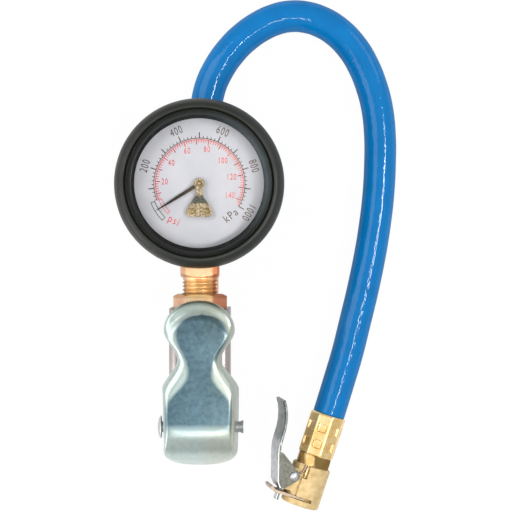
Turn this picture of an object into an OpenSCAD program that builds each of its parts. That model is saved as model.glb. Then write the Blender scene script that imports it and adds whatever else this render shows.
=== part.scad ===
// Hand-held tyre inflator with dial gauge, short hose and clip-on chuck.
// It lies on the flat back of its valve body: +Y runs up to the gauge, +Z out of the dial.
// The origin is the centre of the valve body's flat back face.

/* [Valve body] */
// Width of the valve body
body_w = 22; // [21.8:0.1:22.4]
// Length of the valve body
body_h = 55.6; // [55:0.2:58]
// Depth of the valve body, back face to front face
body_d = 36; // [35.5:0.1:36.5]
// Radius of the body's long edges
body_edge_r = 3; // [1.5:0.5:4]
// Height of the gauge stem's axis over the back face
stem_z = 25.5; // [25.2:0.1:26]
// Height of the rear hose port's axis over the back face
port_z = 7.5; // [7.2:0.1:7.8]

/* [Air inlet] */
// Minor diameter of the inlet's 1/4 inch pipe thread
inlet_d = 11.44; // [11:0.1:12]
// Depth of the inlet's thread
inlet_depth = 12; // [10:0.5:13]
// Height of the inlet's axis over the back face
inlet_z = 11; // [10:0.5:12]

/* [Valve] */
// Distance from the body's centre up to the valve's axis
valve_y = 9; // [8.5:0.1:9.5]
// Diameter of the plunger
plunger_d = 5; // [4:0.2:5.4]
// Diameter of the chamber that holds the poppet
chamber_d = 10; // [9.6:0.1:10.2]
// Wire diameter of the valve spring
valve_wire_d = 0.8; // [0.6:0.05:1]
// Number of curls of the valve spring
valve_curls = 5; // [3:1:5]

/* [Trigger lever] */
// Thickness of the lever's sheet steel
lever_t = 1.2; // [1:0.1:1.4]
// Height of the lever's face over the back face of the body
lever_front = 46; // [45.8:0.1:48]
// Width of the lever's upper lobe
lobe_w = 24.8; // [24:0.2:26]
// Width of the lever's waist
waist_w = 15.4; // [13:0.2:17]
// How much wider than the body the lever is at its shoulders
shoulder_over = 3.8; // [3.6:0.1:5]
// How much wider than the body the lever is at its foot
foot_over = 2.8; // [2.8:0.1:4]
// How far the lever's side walls lean outwards at their rear edge
flare = 1.4; // [1:0.1:1.6]
// Upper end of the lever, from the body's centre
lever_top = 30.8; // [29:0.2:32]
// Lower end of the lever, below the body's centre
lever_foot = 27.9; // [27.6:0.1:29]
// Diameter of the lever pin
pin_d = 4; // [3.4:0.1:4.6]

/* [Gauge] */
// Distance from the body's centre up to the gauge's centre
gauge_y = 73; // [72.5:0.5:78]
// Outer diameter of the rubber boot
boot_d = 61.4; // [60:0.2:63]
// Thickness of the boot's wall beside the case
boot_wall = 4.7; // [4.4:0.1:4.9]
// Width of the bezel's face
bezel_w = 4.1; // [3.6:0.1:4.6]
// Height of the boot's front rim
boot_front = 43; // [42.6:0.1:44]
// Width across the socket's square shank
shank_af = 14; // [13.6:0.1:14.2]
// Outer diameter of the socket's thread
thread_d = 13.16; // [12.6:0.02:13.3]
// Pitch of the socket's thread
thread_pitch = 1.337; // [1:0.01:1.6]
// Width across the bush's hexagon
bush_af = 17; // [16.8:0.1:18]
// Height of the bush's hexagon
bush_h = 5.2; // [5:0.1:6]
// Length of the pointer from its arbor to its tip
pointer_l = 18.2; // [16:0.2:20]

/* [Hose] */
// Outer diameter of the hose
hose_d = 12.4; // [11.6:0.1:12.5]
// Bore of the hose
hose_bore = 6.6; // [6.4:0.1:6.8]
// Width across the ferrule's eight flats
ferrule_af = 12.8; // [12.4:0.1:13]
// Length of a ferrule
ferrule_h = 16; // [14:0.5:17]
// Width of the tails' hexagon
tail_af = 12; // [11:0.1:12.4]

/* [Chuck] */
// Outer diameter of the chuck
chuck_d = 14.4; // [14:0.1:14.5]
// Length of the chuck from its mouth to the hose tail's hexagon
chuck_h = 15.5; // [15:0.1:17]
// Diameter of the chuck's mouth
mouth_d = 8.2; // [7.9:0.1:8.6]
// Width of the finger lever over its two cheeks
finger_w = 11.6; // [11.4:0.1:12.4]
// Thickness of the finger lever's sheet steel
finger_t = 1; // [0.8:0.05:1.1]
// Diameter of the chuck's rivet
rivet_d = 2; // [1.6:0.1:2.2]
// Wire diameter of the chuck's spring
chuck_wire_d = 0.7; // [0.5:0.05:0.8]

/* [Hidden] */

// Clearances
run = 0.05;        // between a turning or sliding shaft and its bore
fit = 0.06;        // between round pieces that are screwed or pressed together
gap = 0.3;         // between free faces on different bodies
tiny = 0.01;       // a cut runs this far past a face

// Fineness of round surfaces
fine = 96;
coarse = 48;

// Valve body
body_top = body_h / 2;
body_bottom = -body_h / 2;
pin_y = -15.5;
pin_z = body_d - 9;
heel_r = 9;
pad_r = 4.4;
bore_step = 1;
screen_h = 0.6;
screen_seat_d = 10;
passage_d = 5;
cross_y = 16.2;
cross_d = 2.8;
chamber_top = 14.8;
upper_chamber_d = 8.4;
gland_z = 28;
plug_d = 12;
plug_h = 5;
plug_recess = 0.5;
inlet_passage_z = 9.2;
lever_bore_r = pin_d / 2 + run;

// Valve pieces
gland_af = 11.6;
gland_head_h = 2.5;
gland_spigot_d = 11;
seal_wire_d = 1.6;
seal_groove_h = 2;
seat_h = 1.8;
seat_bore_d = 6.8;
stem_d = 3.6;
poppet_d = 8.4;
poppet_top = chamber_top - seat_h - run;
poppet_h = 1.3;
poppet_seal_h = 0.9;
spring_floor = 2;
spring_low = spring_floor + 0.1;
spring_high = poppet_top - poppet_h - poppet_seal_h - 0.1;
spring_r = 2.9;

// Trigger lever
shoulder_w = body_w + shoulder_over;
foot_w = body_w + foot_over;
lever_inner = lever_front - lever_t;
plunger_top = lever_inner - gap;
waist_y = 9.7;
lobe_y = 20.4;
shoulder_y = -0.9;
corner_y = -23.6;
face_shrink = 3.65;
corner_power = 2.4;
rear_low = 19;
pin_head_d = 8.4;
pin_head_h = 1.6;
pin_tail_h = 2.35;
pin_tail_d = 5;
lever_half_at_pin = foot_w / 2 + (shoulder_w - foot_w) / 2 * (pin_y - corner_y) / (shoulder_y - corner_y)
  + flare * (lever_front - 3 - pin_z) / (lever_front - 3 - rear_low);
pad_h = lever_half_at_pin - lever_t - body_w / 2 - 0.65;

// Gauge
spigot_d = 16.66;
spigot_h = 10;
bush_bore = thread_d / 2 + fit;
thread_shown = 6.6;
thread_in = 5;
shank_in = 2.2;
socket_bore = 3;
shank_low = body_top + bush_h + thread_shown;
thread_low = body_top - thread_in;
case_back = 16.9;
case_t = 0.8;
lens_back = boot_front - 6;
lens_h = 2;
case_d = boot_d - 2 * boot_wall;
bezel_d = case_d + 2.8;
bezel_inner_d = bezel_d - 2 * bezel_w;
bezel_skirt = 3;
bezel_flange = 1.6;
boot_back = 14.3;
boot_floor = case_back - 0.05;
dial_front = lens_back - 3;
dial_t = 0.5;
plate_z = 27.2;
plate_t = 1;
block_w = 13;
block_low = 19.6;
tube_r = case_d / 2 - 8.8;
tube_t = 2;
block_top = -tube_r + 3.4;
plate_foot = case_d / 2 - 4;
tip_w = 5.6;
tip_l = 6.6;
tip_plate = [6.4, 2.4];
tip_slot = [5.4, 1.6];
plate_neck = 5;
plate_half = 9;
plate_low = 3;
plate_high = 8;
post_x = 7.5;
post_y = 6;
tube_w = 6.4;
tube_from = -35;
tube_turn = 285;
arbor_r = 0.5;
bridge_z = dial_front + 1.4;
bridge_t = 0.8;
hub_r = 1.3;
pointer_z = dial_front + 0.5;
pointer_t = 0.4;
pointer_w = 1.4;
pointer_rest = 212;
gear_module = 0.2;
pinion_teeth = 12;
sector_teeth = 84;
sector_r = gear_module * sector_teeth / 2;
gear_distance = gear_module * (sector_teeth + pinion_teeth) / 2;
sector_z = plate_z + plate_t + 1.5;
sector_t = 0.6;
sector_half = 6;
sector_high = 11;
sector_rest = -17.15;
tail_r = 6;
link_z = plate_z + plate_t + 0.4;
link_t = 0.5;
slot_inset = 2.26;
stud_r = 0.4;
rivet_x = 2.7;
rivet_drop = 10;
tail_pin = [
  tail_r * sin(sector_rest),
  -gear_distance - tail_r * cos(sector_rest)
];
link_l = tube_r * cos(tube_from) - tail_pin[0] - slot_inset;
link_rise = 1.3;

// Hose and its fittings
tail_hex_h = 4;
crimp_d = 10.7;
ferrule_bore = crimp_d / 2 + fit;
ferrule_floor = 1;
barb_r = hose_bore / 2 * cos(180 / 12) - fit;
tail_bore = 3.6;
tail_thread_d = 9.7;
tail_thread_h = 9;
hose_in = ferrule_floor + 0.2;
hose_sides = 12;
rear_mouth = body_top + tail_hex_h + ferrule_h;
dimple = 3;
dimple_depth = 0.35;
dimple_rows = [4.6, 10.8];

// Chuck: its own frame has the mouth at y = 0, the hose towards +Y and the lever at -X
chuck_at = [36.6, -46.3, 7.4];
chuck_turn = -18.2;
chuck_roll = 14;
front_mouth = chuck_h + tail_hex_h + ferrule_h;
rivet_at = [-7, 10.2];
lug_w = finger_w - 2 * finger_t - 0.3;
slot_y = 2.8;
slot_h = 1.3;
slot_x = 2.2;
jaw_t = 1;
jaw_w = 9;
mouth_depth = 7.4;
seal_d = 9.6;
seal_h = 2.2;
depressor_h = 1.4;
spring_turns = 2;
spring_pitch = chuck_wire_d + 0.45;
coil_r = rivet_d / 2 + 0.45 + chuck_wire_d / 2;
pocket_r = coil_r + chuck_wire_d / 2 + 0.25;
pocket_depth = spring_turns * spring_pitch + chuck_wire_d + 0.3;
cheek_r = 2.2;
groove_depth = 0.95;
groove_w = 3.6;

// Route of the hose from the rear ferrule's mouth to the front ferrule's mouth
route = [
  [0, 58, 7.2], [0, 72, 6.6], [0.4, 85, 6.3], [1.3, 97, 6.3], [2.9, 109, 6.3], [6.3, 117, 6.3],
  [11.6, 124.5, 6.3], [16.4, 129.2, 6.3], [22, 133.1, 6.3], [28, 135.8, 6.3], [33.5, 136.9, 6.3],
  [39, 136.6, 6.3], [44.6, 134.9, 6.3], [50.5, 131.4, 6.3], [56.5, 125.3, 6.3],
  [60.6, 118.6, 6.3], [63.7, 111, 6.3], [65.9, 102.5, 6.3], [67, 92, 6.3], [67, 81, 6.3],
  [66.4, 70, 6.3], [65, 58, 6.3], [63, 46, 6.3], [60.5, 34, 6.3], [57.6, 22, 6.4],
  [54.6, 10, 6.6], [51.6, 0, 6.9], [49.6, -6.5, 7.2]
];

// Puts a piece of the chuck in its place
module at_chuck() {
  translate(chuck_at) rotate([0, 0, chuck_turn]) rotate([0, chuck_roll, 0]) children();
}

// Puts a piece of the gauge in its place
module at_gauge() {
  translate([0, gauge_y, 0]) children();
}

// Turns a piece that was made along +Z so that it runs along +Y
module along_y() {
  rotate([-90, 0, 0]) children();
}

// Bar along +Z with round corners
module round_bar(w, d, r, h) {
  linear_extrude(height = h) {
    square([w - 2 * r, d], center = true);
    square([w, d - 2 * r], center = true);
    for (sx = [-1, 1], sy = [-1, 1]) {
      translate([sx * (w / 2 - r), sy * (d / 2 - r)]) circle(r = r, $fn = coarse);
    }
  }
}

// Hexagonal bar along +Z with its corners turned off at the given ends
module hex_bar(af, h, top = true, bottom = false) {
  chamfer = 0.8;
  corner = af / sqrt(3);
  intersection() {
    cylinder(r = corner, h = h, $fn = 6);
    rotate_extrude($fn = fine) polygon([
      [0, 0], [corner - (bottom ? chamfer : 0), 0], [corner, bottom ? chamfer / 2 : 0],
      [corner, h - (top ? chamfer / 2 : 0)], [corner - (top ? chamfer : 0), h], [0, h]
    ]);
  }
}

// Solid thread with ring grooves, along +Z
module ring_thread(d, h, pitch, depth) {
  rotate_extrude($fn = fine) polygon(concat(
    [[0, 0]],
    [for (k = [0 : floor(h / pitch) - 1], s = [0, 0.5])
      [d / 2 - (s == 0 ? depth : 0), (k + s) * pitch]],
    [[d / 2 - depth, floor(h / pitch) * pitch], [d / 2 - depth, h], [0, h]]
  ));
}

// --- Sweeping a tube along a list of points ---
function unit(v) = v / norm(v);
function tangent(p, i) = unit(p[min(i + 1, len(p) - 1)] - p[max(i - 1, 0)]);
function ring(p, t, r, n) =
  let (side = unit(cross(t, [0, 0.001, 1])), up = cross(side, t))
  [for (k = [0 : n - 1]) p + r * (cos(360 * (k + 0.5) / n) * side + sin(360 * (k + 0.5) / n) * up)];
function band(a, b, n) = [for (k = [0 : n - 1], h = [0, 1])
  h == 0 ? [a + k, b + k, b + (k + 1) % n] : [a + k, b + (k + 1) % n, a + (k + 1) % n]];

// Bored tube whose outer radius is listed ring by ring
module bored_tube(p, radii, bore_r, n) {
  m = len(p);
  outer = [for (i = [0 : m - 1]) each ring(p[i], tangent(p, i), radii[i], n)];
  inner = [for (i = [0 : m - 1]) each ring(p[i], tangent(p, i), bore_r, n)];
  shift = m * n;
  faces = concat(
    [for (i = [0 : m - 2]) each band(i * n, (i + 1) * n, n)],
    [for (i = [0 : m - 2]) each band(shift + (i + 1) * n, shift + i * n, n)],
    band(shift, 0, n),
    band((m - 1) * n, shift + (m - 1) * n, n)
  );
  polyhedron(points = concat(outer, inner), faces = faces);
}

// Solid wire
module wire(p, r, n = 6) {
  m = len(p);
  points = [for (i = [0 : m - 1]) each ring(p[i], tangent(p, i), r, n)];
  first = [for (k = [1 : n - 2]) [0, k, k + 1]];
  last = [for (k = [1 : n - 2]) [(m - 1) * n, (m - 1) * n + k + 1, (m - 1) * n + k]];
  sides = [for (i = [0 : m - 2]) each band(i * n, (i + 1) * n, n)];
  polyhedron(points = points, faces = concat(first, sides, last));
}

// --- Valve body ---
module body_blank() {
  outline = concat(
    [[body_bottom, 0], [body_bottom, pin_z - 5.5], [pin_y - heel_r, pin_z - 3]],
    [for (a = [180 : -6 : 132]) [pin_y + heel_r * cos(a), pin_z + heel_r * sin(a)]],
    [[pin_y - 5.8, body_d], [body_top - 1, body_d], [body_top, body_d - 1], [body_top, 0]]
  );
  intersection() {
    translate([0, body_bottom, body_d / 2]) along_y() round_bar(body_w, body_d, body_edge_r, body_h);
    translate([-body_w, 0, 0]) rotate([90, 0, 90]) linear_extrude(height = 2 * body_w) polygon(outline);
  }
}

module valve_body() {
  color([0.62, 0.6, 0.56]) difference() {
    union() {
      body_blank();
      for (s = [-1, 1]) {
        translate([s * body_w / 2, pin_y, pin_z]) rotate([0, 90, 0])
          cylinder(r = pad_r, h = 2 * pad_h, center = true, $fn = coarse);
      }
    }
    // Bore of the lever pin
    translate([-body_w, pin_y, pin_z]) rotate([0, 90, 0]) cylinder(r = lever_bore_r, h = 2 * body_w, $fn = fine);
    // Air inlet, its screen's seat and its passage
    translate([0, body_bottom - tiny, inlet_z]) along_y()
      cylinder(d = inlet_d, h = inlet_depth + tiny, $fn = fine);
    translate([0, body_bottom, inlet_z]) along_y()
      cylinder(d = screen_seat_d, h = inlet_depth + bore_step, $fn = fine);
    translate([0, body_bottom + inlet_depth, inlet_passage_z]) along_y()
      cylinder(d = passage_d, h = valve_y - body_bottom - inlet_depth, $fn = coarse);
    // Valve chambers and the gland's seat
    translate([0, valve_y, -tiny]) cylinder(d = plug_d + 2 * fit, h = plug_h + plug_recess + tiny, $fn = fine);
    translate([0, valve_y, 0]) cylinder(d = chamber_d, h = chamber_top, $fn = fine);
    translate([0, valve_y, 0]) cylinder(d = upper_chamber_d, h = body_d, $fn = fine);
    translate([0, valve_y, gland_z]) cylinder(d = gland_spigot_d + 2 * fit, h = body_d, $fn = fine);
    // Gauge port and its passage
    translate([0, body_top - spigot_h, stem_z]) along_y()
      cylinder(d = spigot_d + 2 * fit, h = spigot_h + tiny, $fn = fine);
    translate([0, valve_y, stem_z - 0.3]) along_y() cylinder(d = 4, h = body_top - valve_y, $fn = coarse);
    // Rear hose port and the passage up to the gauge's
    translate([0, body_top - tail_thread_h - 0.5, port_z]) along_y()
      cylinder(d = tail_thread_d + 2 * fit, h = tail_thread_h + 1, $fn = fine);
    translate([0, cross_y - cross_d / 2, port_z]) along_y()
      cylinder(d = cross_d, h = body_top - tail_thread_h - cross_y + cross_d / 2, $fn = coarse);
    translate([0, cross_y, port_z]) cylinder(d = cross_d, h = stem_z - port_z, $fn = coarse);
  }
}

module inlet_screen() {
  color([0.8, 0.75, 0.5]) translate([0, body_bottom + inlet_depth + 0.1, inlet_z]) along_y() difference() {
    cylinder(d = screen_seat_d - 2 * fit, h = screen_h, $fn = coarse);
    for (x = [-3 : 1.5 : 3], y = [-3 : 1.5 : 3]) {
      if (norm([x, y]) < 4) {
        translate([x, y, -tiny]) cylinder(d = 0.9, h = screen_h + 1, $fn = 16);
      }
    }
  }
}

module valve_seat() {
  color("goldenrod") translate([0, valve_y, chamber_top - seat_h]) difference() {
    cylinder(d = chamber_d - 2 * fit, h = seat_h, $fn = fine);
    translate([0, 0, -1]) cylinder(d = seat_bore_d, h = seat_h + 2, $fn = fine);
  }
}

function coil_points(r, low, high, turns, steps) =
  [for (i = [0 : turns * steps]) [
    r * cos(360 * i / steps), r * sin(360 * i / steps), low + (high - low) * i / (turns * steps)]];
valve_coil = coil_points(spring_r, spring_low + valve_wire_d / 2, spring_high - valve_wire_d / 2, valve_curls, 8);
function coil_gap(p, steps, wire_d) =
  min([for (i = [0 : len(p) - 1 - steps]) norm(p[i + steps] - p[i])]) - wire_d;
echo(valve_spring_gap = coil_gap(valve_coil, 8, valve_wire_d));

module valve_spring() {
  color("silver") translate([0, valve_y, 0]) wire(valve_coil, valve_wire_d / 2);
}

module bottom_plug() {
  color("goldenrod") translate([0, valve_y, plug_recess]) difference() {
    cylinder(d = plug_d, h = plug_h, $fn = fine);
    translate([0, 0, spring_floor - plug_recess]) cylinder(r = spring_r + 0.9, h = plug_h, $fn = fine);
    translate([0, 0, -tiny]) linear_extrude(height = 0.9) square([8, 1.2], center = true);
  }
}

module gland_nut() {
  color("goldenrod") translate([0, valve_y, 0]) difference() {
    union() {
      translate([0, 0, gland_z + 0.05]) cylinder(d = gland_spigot_d, h = body_d - gland_z, $fn = fine);
      translate([0, 0, body_d]) rotate([0, 0, 30]) hex_bar(gland_af, gland_head_h);
    }
    translate([0, 0, gland_z - 1]) cylinder(r = plunger_d / 2 + run, h = body_d, $fn = fine);
    translate([0, 0, gland_z]) cylinder(r = plunger_d / 2 + seal_wire_d + 0.2, h = seal_groove_h, $fn = fine);
  }
}

module plunger_seal() {
  color([0.12, 0.12, 0.12]) translate([0, valve_y, gland_z + 0.1 + seal_wire_d / 2]) rotate_extrude($fn = fine)
    translate([plunger_d / 2 + run + seal_wire_d / 2, 0]) circle(d = seal_wire_d, $fn = 24);
}

module plunger() {
  tip_r = 6;
  tip_h = tip_r - sqrt(tip_r * tip_r - plunger_d * plunger_d / 4);
  color("silver") translate([0, valve_y, 0]) {
    // Guided rod with a domed tip
    translate([0, 0, gland_z - 2]) cylinder(d = plunger_d, h = plunger_top - tip_h - gland_z + 2, $fn = fine);
    intersection() {
      translate([0, 0, plunger_top - tip_r]) sphere(r = tip_r, $fn = fine);
      translate([0, 0, plunger_top - tip_h - tiny]) cylinder(d = plunger_d, h = tip_h + 1, $fn = fine);
    }
    // Thin stem and the poppet at its end
    translate([0, 0, poppet_top - poppet_h]) cylinder(d = stem_d, h = gland_z - poppet_top, $fn = fine);
    translate([0, 0, poppet_top - poppet_seal_h - poppet_h])
      cylinder(d = poppet_d, h = poppet_h, $fn = fine);
    translate([0, 0, poppet_top - poppet_seal_h]) cylinder(d = stem_d, h = poppet_seal_h, $fn = fine);
  }
}

module poppet_seal() {
  color([0.12, 0.12, 0.12]) translate([0, valve_y, poppet_top - poppet_seal_h]) difference() {
    cylinder(d = poppet_d, h = poppet_seal_h, $fn = fine);
    translate([0, 0, -1]) cylinder(d = stem_d, h = poppet_seal_h + 2, $fn = fine);
  }
}

// --- Trigger lever ---
function ease(a, b, t) = a + (b - a) * (1 - cos(180 * t)) / 2;

// Right half of an hourglass outline, from the bottom centre to the top centre
function half_outline(foot, corner, shoulder, waist, lobe) = concat(
  [for (k = [0 : 8]) [
    corner[0] * pow(sin(90 * k / 8), 2 / corner_power),
    corner[1] - (corner[1] - foot) * pow(cos(90 * k / 8), 2 / corner_power)]],
  [for (k = [1 : 5]) corner + (shoulder - corner) * k / 5],
  [for (k = [1 : 8]) [ease(shoulder[0], waist[0], k / 8), shoulder[1] + (waist[1] - shoulder[1]) * k / 8]],
  [for (k = [1 : 8]) [ease(waist[0], lobe[0], k / 8), waist[1] + (lobe[1] - waist[1]) * k / 8]],
  [for (k = [1 : 9]) [lobe[0] * cos(10 * k), lobe[1] + (lobe[2] - lobe[1]) * sin(10 * k)]]
);
function whole_outline(half) = concat(half, [for (k = [len(half) - 2 : -1 : 1]) [-half[k][0], half[k][1]]]);

lever_rim = whole_outline(half_outline(
  -lever_foot, [foot_w / 2, corner_y], [shoulder_w / 2, shoulder_y],
  [waist_w / 2, waist_y], [lobe_w / 2, lobe_y, lever_top]));
lever_face = whole_outline(half_outline(
  -lever_foot + 12.6, [foot_w / 2 - 1.9, -lever_foot + 15.6], [shoulder_w / 2 - 2.2, shoulder_y - 4],
  [waist_w / 2 - 3.2, waist_y - 1.7], [lobe_w / 2 - face_shrink, lobe_y - 2.4, lever_top - 7.2]));
lever_n = len(lever_rim);

// Height of the side walls' rear edge and drop of the shoulder, along the lever
function rear_edge(y) = lookup(y, [
  [-lever_foot, 27.5], [-26.3, 27.5], [-21, rear_low], [-8, rear_low],
  [shoulder_y + 1.2, lever_front - 8], [waist_y, lever_front - 6], [lobe_y, lever_front - 4.6], [lever_top, lever_front - 4]]);
function shoulder_drop(y) = lookup(y, [
  [-lever_foot, 14], [-26.5, 9.5], [-24.5, 6.5], [-21, 4.2], [-15, 3], [waist_y, 3], [lever_top, 3]]);
// How far the side walls lean outwards at their rear edge, along the lever
function lean(y) = lookup(y, [
  [-lever_foot, flare], [shoulder_y, flare], [waist_y, flare / 5], [lobe_y, flare / 3], [lever_top, flare / 7]]);
function inward(p, i) = let (n = len(p), t = p[(i + 1) % n] - p[(i + n - 1) % n]) [-t[1], t[0]] / norm(t);

// One skin of the lever: the rim moved inwards by t, and the face lowered by t
function lever_skin(t) = concat(
  [for (i = [0 : lever_n - 1])
    let (p = lever_rim[i] + (t - lean(lever_rim[i][1])) * inward(lever_rim, i)) [p[0], p[1], rear_edge(lever_rim[i][1])]],
  [for (s = [0 : 5], i = [0 : lever_n - 1])
    let (p = lever_rim[i] + t * inward(lever_rim, i),
      f = lever_face[i] + 0.15 * t * inward(lever_face, i),
      drop = shoulder_drop(lever_rim[i][1]),
      low = lever_front - drop,
      xy = f + (p - f) * cos(90 * s / 5))
    [xy[0], xy[1], low + (drop - t) * sin(90 * s / 5)]]
);

function face_fill(base, flip) = [for (k = [0 : lever_n / 2 - 1], h = [0, 1])
  let (a = base + k, b = base + k + 1, c = base + (lever_n - k - 1) % lever_n, d = base + (lever_n - k) % lever_n)
  if (!(h == 0 && k == lever_n / 2 - 1) && !(h == 1 && k == 0))
    (h == 0) ? (flip ? [a, b, c] : [c, b, a]) : (flip ? [a, c, d] : [d, c, a])];

module lever_shell() {
  rings = 7;
  n = lever_n;
  in0 = rings * n;
  faces = concat(
    [for (r = [0 : rings - 2]) each band(r * n, (r + 1) * n, n)],
    [for (r = [0 : rings - 2]) each band(in0 + (r + 1) * n, in0 + r * n, n)],
    band(in0, 0, n),
    face_fill((rings - 1) * n, false),
    face_fill(in0 + (rings - 1) * n, true)
  );
  polyhedron(points = concat(lever_skin(0), lever_skin(lever_t)), faces = faces);
}

module lever() {
  color([0.74, 0.77, 0.78]) difference() {
    lever_shell();
    translate([-body_w, pin_y, pin_z]) rotate([0, 90, 0])
      cylinder(r = pin_d / 2 + 0.02, h = 2 * body_w, $fn = fine);
  }
}

module lever_pin() {
  half = lever_half_at_pin;
  color([0.6, 0.6, 0.62]) translate([0, pin_y, pin_z]) rotate([0, 90, 0]) difference() {
    union() {
      translate([0, 0, -half - 0.3]) cylinder(d = pin_d, h = 2 * half + pin_tail_h, $fn = fine);
      // Domed head
      translate([0, 0, -half - 0.25]) rotate([180, 0, 0]) rotate_extrude($fn = fine) polygon(concat(
        [[0, 0]],
        [for (a = [0 : 10 : 90]) [pin_head_d / 2 * cos(a), 0.2 + (pin_head_h - 0.2) * sin(a)]]));
      // Flared tail
      translate([0, 0, half + pin_tail_h - 1.2])
        cylinder(d1 = pin_d, d2 = pin_tail_d, h = 1.2, $fn = fine);
    }
    translate([0, 0, half + pin_tail_h - 2.2]) cylinder(d1 = 1.4, d2 = 3.4, h = 2.2 + tiny, $fn = fine);
  }
}

// --- Gauge ---
module gauge_bush() {
  color([0.9, 0.68, 0.5]) translate([0, body_top, stem_z]) along_y() difference() {
    union() {
      hex_bar(bush_af, bush_h);
      translate([0, 0, -spigot_h + 0.1]) cylinder(d = spigot_d, h = spigot_h, $fn = fine);
    }
    translate([0, 0, -6]) cylinder(r = bush_bore, h = 20, $fn = fine);
    translate([0, 0, -20]) cylinder(d = 6, h = 20, $fn = coarse);
  }
}

module bourdon_shape(extra = 0) {
  rotate([0, 0, tube_from]) rotate_extrude(angle = tube_turn, $fn = fine)
    translate([tube_r, block_low + tube_w / 2]) {
      square([tube_t + 2 * extra, tube_w - tube_t + 2 * extra], center = true);
      for (s = [-1, 1]) {
        translate([0, s * (tube_w - tube_t) / 2]) circle(d = tube_t + 2 * extra, $fn = 24);
      }
    }
}

module gauge_socket() {
  shank_top = gauge_y - case_d / 2 + shank_in;
  shank_l = shank_top - shank_low;
  color([0.92, 0.72, 0.48]) difference() {
    union() {
      translate([0, thread_low, stem_z]) along_y()
        ring_thread(thread_d, shank_low - thread_low + 0.3, thread_pitch, 0.8);
      translate([0, shank_low, stem_z]) along_y() intersection() {
        translate([-shank_af / 2, -shank_af / 2, 0]) cube([shank_af, shank_af, shank_l]);
        cylinder(r1 = shank_af / 2 + 0.4, r2 = shank_af / 2 + 0.4 + 0.8 * shank_l, h = shank_l, $fn = fine);
      }
      translate([-block_w / 2, shank_top - 0.5, block_low])
        cube([block_w, gauge_y + block_top - shank_top + 0.5, plate_z - block_low]);
    }
    translate([0, thread_low - tiny, stem_z]) along_y() cylinder(d = socket_bore, h = gauge_y - thread_low - tube_r + 0.2, $fn = coarse);
    at_gauge() bourdon_shape(0.01);
  }
}

module gauge_case() {
  r = case_d / 2;
  color([0.2, 0.2, 0.2]) at_gauge() difference() {
    rotate_extrude($fn = fine) polygon([
      [0, case_back], [r - 1.5, case_back], [r, case_back + 1.5], [r, lens_back - run], [r - case_t, lens_back - run],
      [r - case_t, case_back + 1.8], [r - 1.8, case_back + case_t], [0, case_back + case_t]
    ]);
    translate([-shank_af / 2 - 0.1, -r - 1, stem_z - shank_af / 2 - 0.1]) cube([shank_af + 0.2, 6, shank_af + 0.2]);
    translate([0, 12, case_back - 1]) cylinder(r = 3, h = 3, $fn = coarse);
  }
}

module vent_plug() {
  color([0.15, 0.15, 0.15]) at_gauge() translate([0, 12, case_back]) {
    translate([0, 0, -1.2]) cylinder(r = 3.8, h = 1.2, $fn = coarse);
    cylinder(r = 3 - fit, h = 1.4, $fn = coarse);
  }
}

module gauge_boot() {
  r = boot_d / 2;
  inner = case_d / 2 + 0.1;
  outer = bezel_d / 2 + 0.1;
  lip = bezel_d / 2 - 1.2;
  top = boot_front - 1.6;
  step = lens_back - bezel_skirt - 0.1;
  color([0.17, 0.19, 0.17]) at_gauge() difference() {
    rotate_extrude($fn = fine) polygon(concat(
      [[10, boot_back], [r - 4, boot_back]],
      [for (a = [-80 : 10 : 0]) [r - 4 + 3.2 * cos(a), boot_back + 4 + 4 * sin(a)]],
      [[r - 0.4, boot_back + 6], [r - 0.4, boot_front - 10]],
      [for (a = [0 : 12 : 84]) [r - 3.4 + 3.4 * cos(a), boot_front - 6.4 + 6.4 * sin(a)]],
      [for (a = [96 : 14 : 166]) [r - 3.2 + (r - 3.2 - lip) * cos(a), boot_front - 1.5 + 1.5 * sin(a)]],
      [[lip, top], [outer, top - 0.7], [outer, step], [inner, step], [inner, boot_floor], [10, boot_floor]]
    ));
    translate([-shank_af / 2 - 0.2, -r - 1, stem_z - shank_af / 2 - 0.2])
      cube([shank_af + 0.4, 10, shank_af + 0.4]);
    translate([0, 12, boot_back - 1]) cylinder(r = 4.2, h = 4, $fn = coarse);
  }
}

module bezel_ring() {
  r = bezel_d / 2;
  low = lens_back - bezel_skirt;
  flange = lens_back + lens_h + run;
  inner = bezel_inner_d / 2;
  color([0.09, 0.1, 0.09]) at_gauge() rotate_extrude($fn = fine) polygon([
    [case_d / 2 + 0.05, low], [r, low], [r, flange + bezel_flange - 0.5], [r - 0.5, flange + bezel_flange],
    [inner + 1.6, flange + bezel_flange], [inner, flange + 0.3], [inner, flange], [case_d / 2 + 0.05, flange]
  ]);
}

module gauge_lens() {
  color([0.85, 0.9, 0.92, 0.4]) at_gauge() translate([0, 0, lens_back])
    cylinder(d = case_d - 0.2, h = lens_h, $fn = fine);
}

// Bell outline of the bridge, grown outwards by a margin
function bell(margin) = let (
  right = concat(
    [for (a = [90 : -15 : -45]) (2.1 + margin) * [cos(a), sin(a)]],
    [[1.1 + margin, -2.8], [1.3 + margin, -4], [2.1 + margin, -5.6], [3.3 + margin, -7.2], [4.3 + margin, -8.8],
      [4.9 + margin, -10.4], [4.7 + margin, -11.6 - margin / 2], [3.6 + margin, -12.4 - margin]]))
  concat(right, [for (k = [len(right) - 1 : -1 : 1]) [-right[k][0], right[k][1]]]);

module dial_plate() {
  color([0.93, 0.93, 0.95]) at_gauge() translate([0, 0, dial_front - dial_t]) difference() {
    cylinder(d = case_d - 2 * case_t - 0.4, h = dial_t, $fn = fine);
    translate([0, 0, -1]) linear_extrude(height = 3) polygon(bell(0.7));
  }
}

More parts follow.
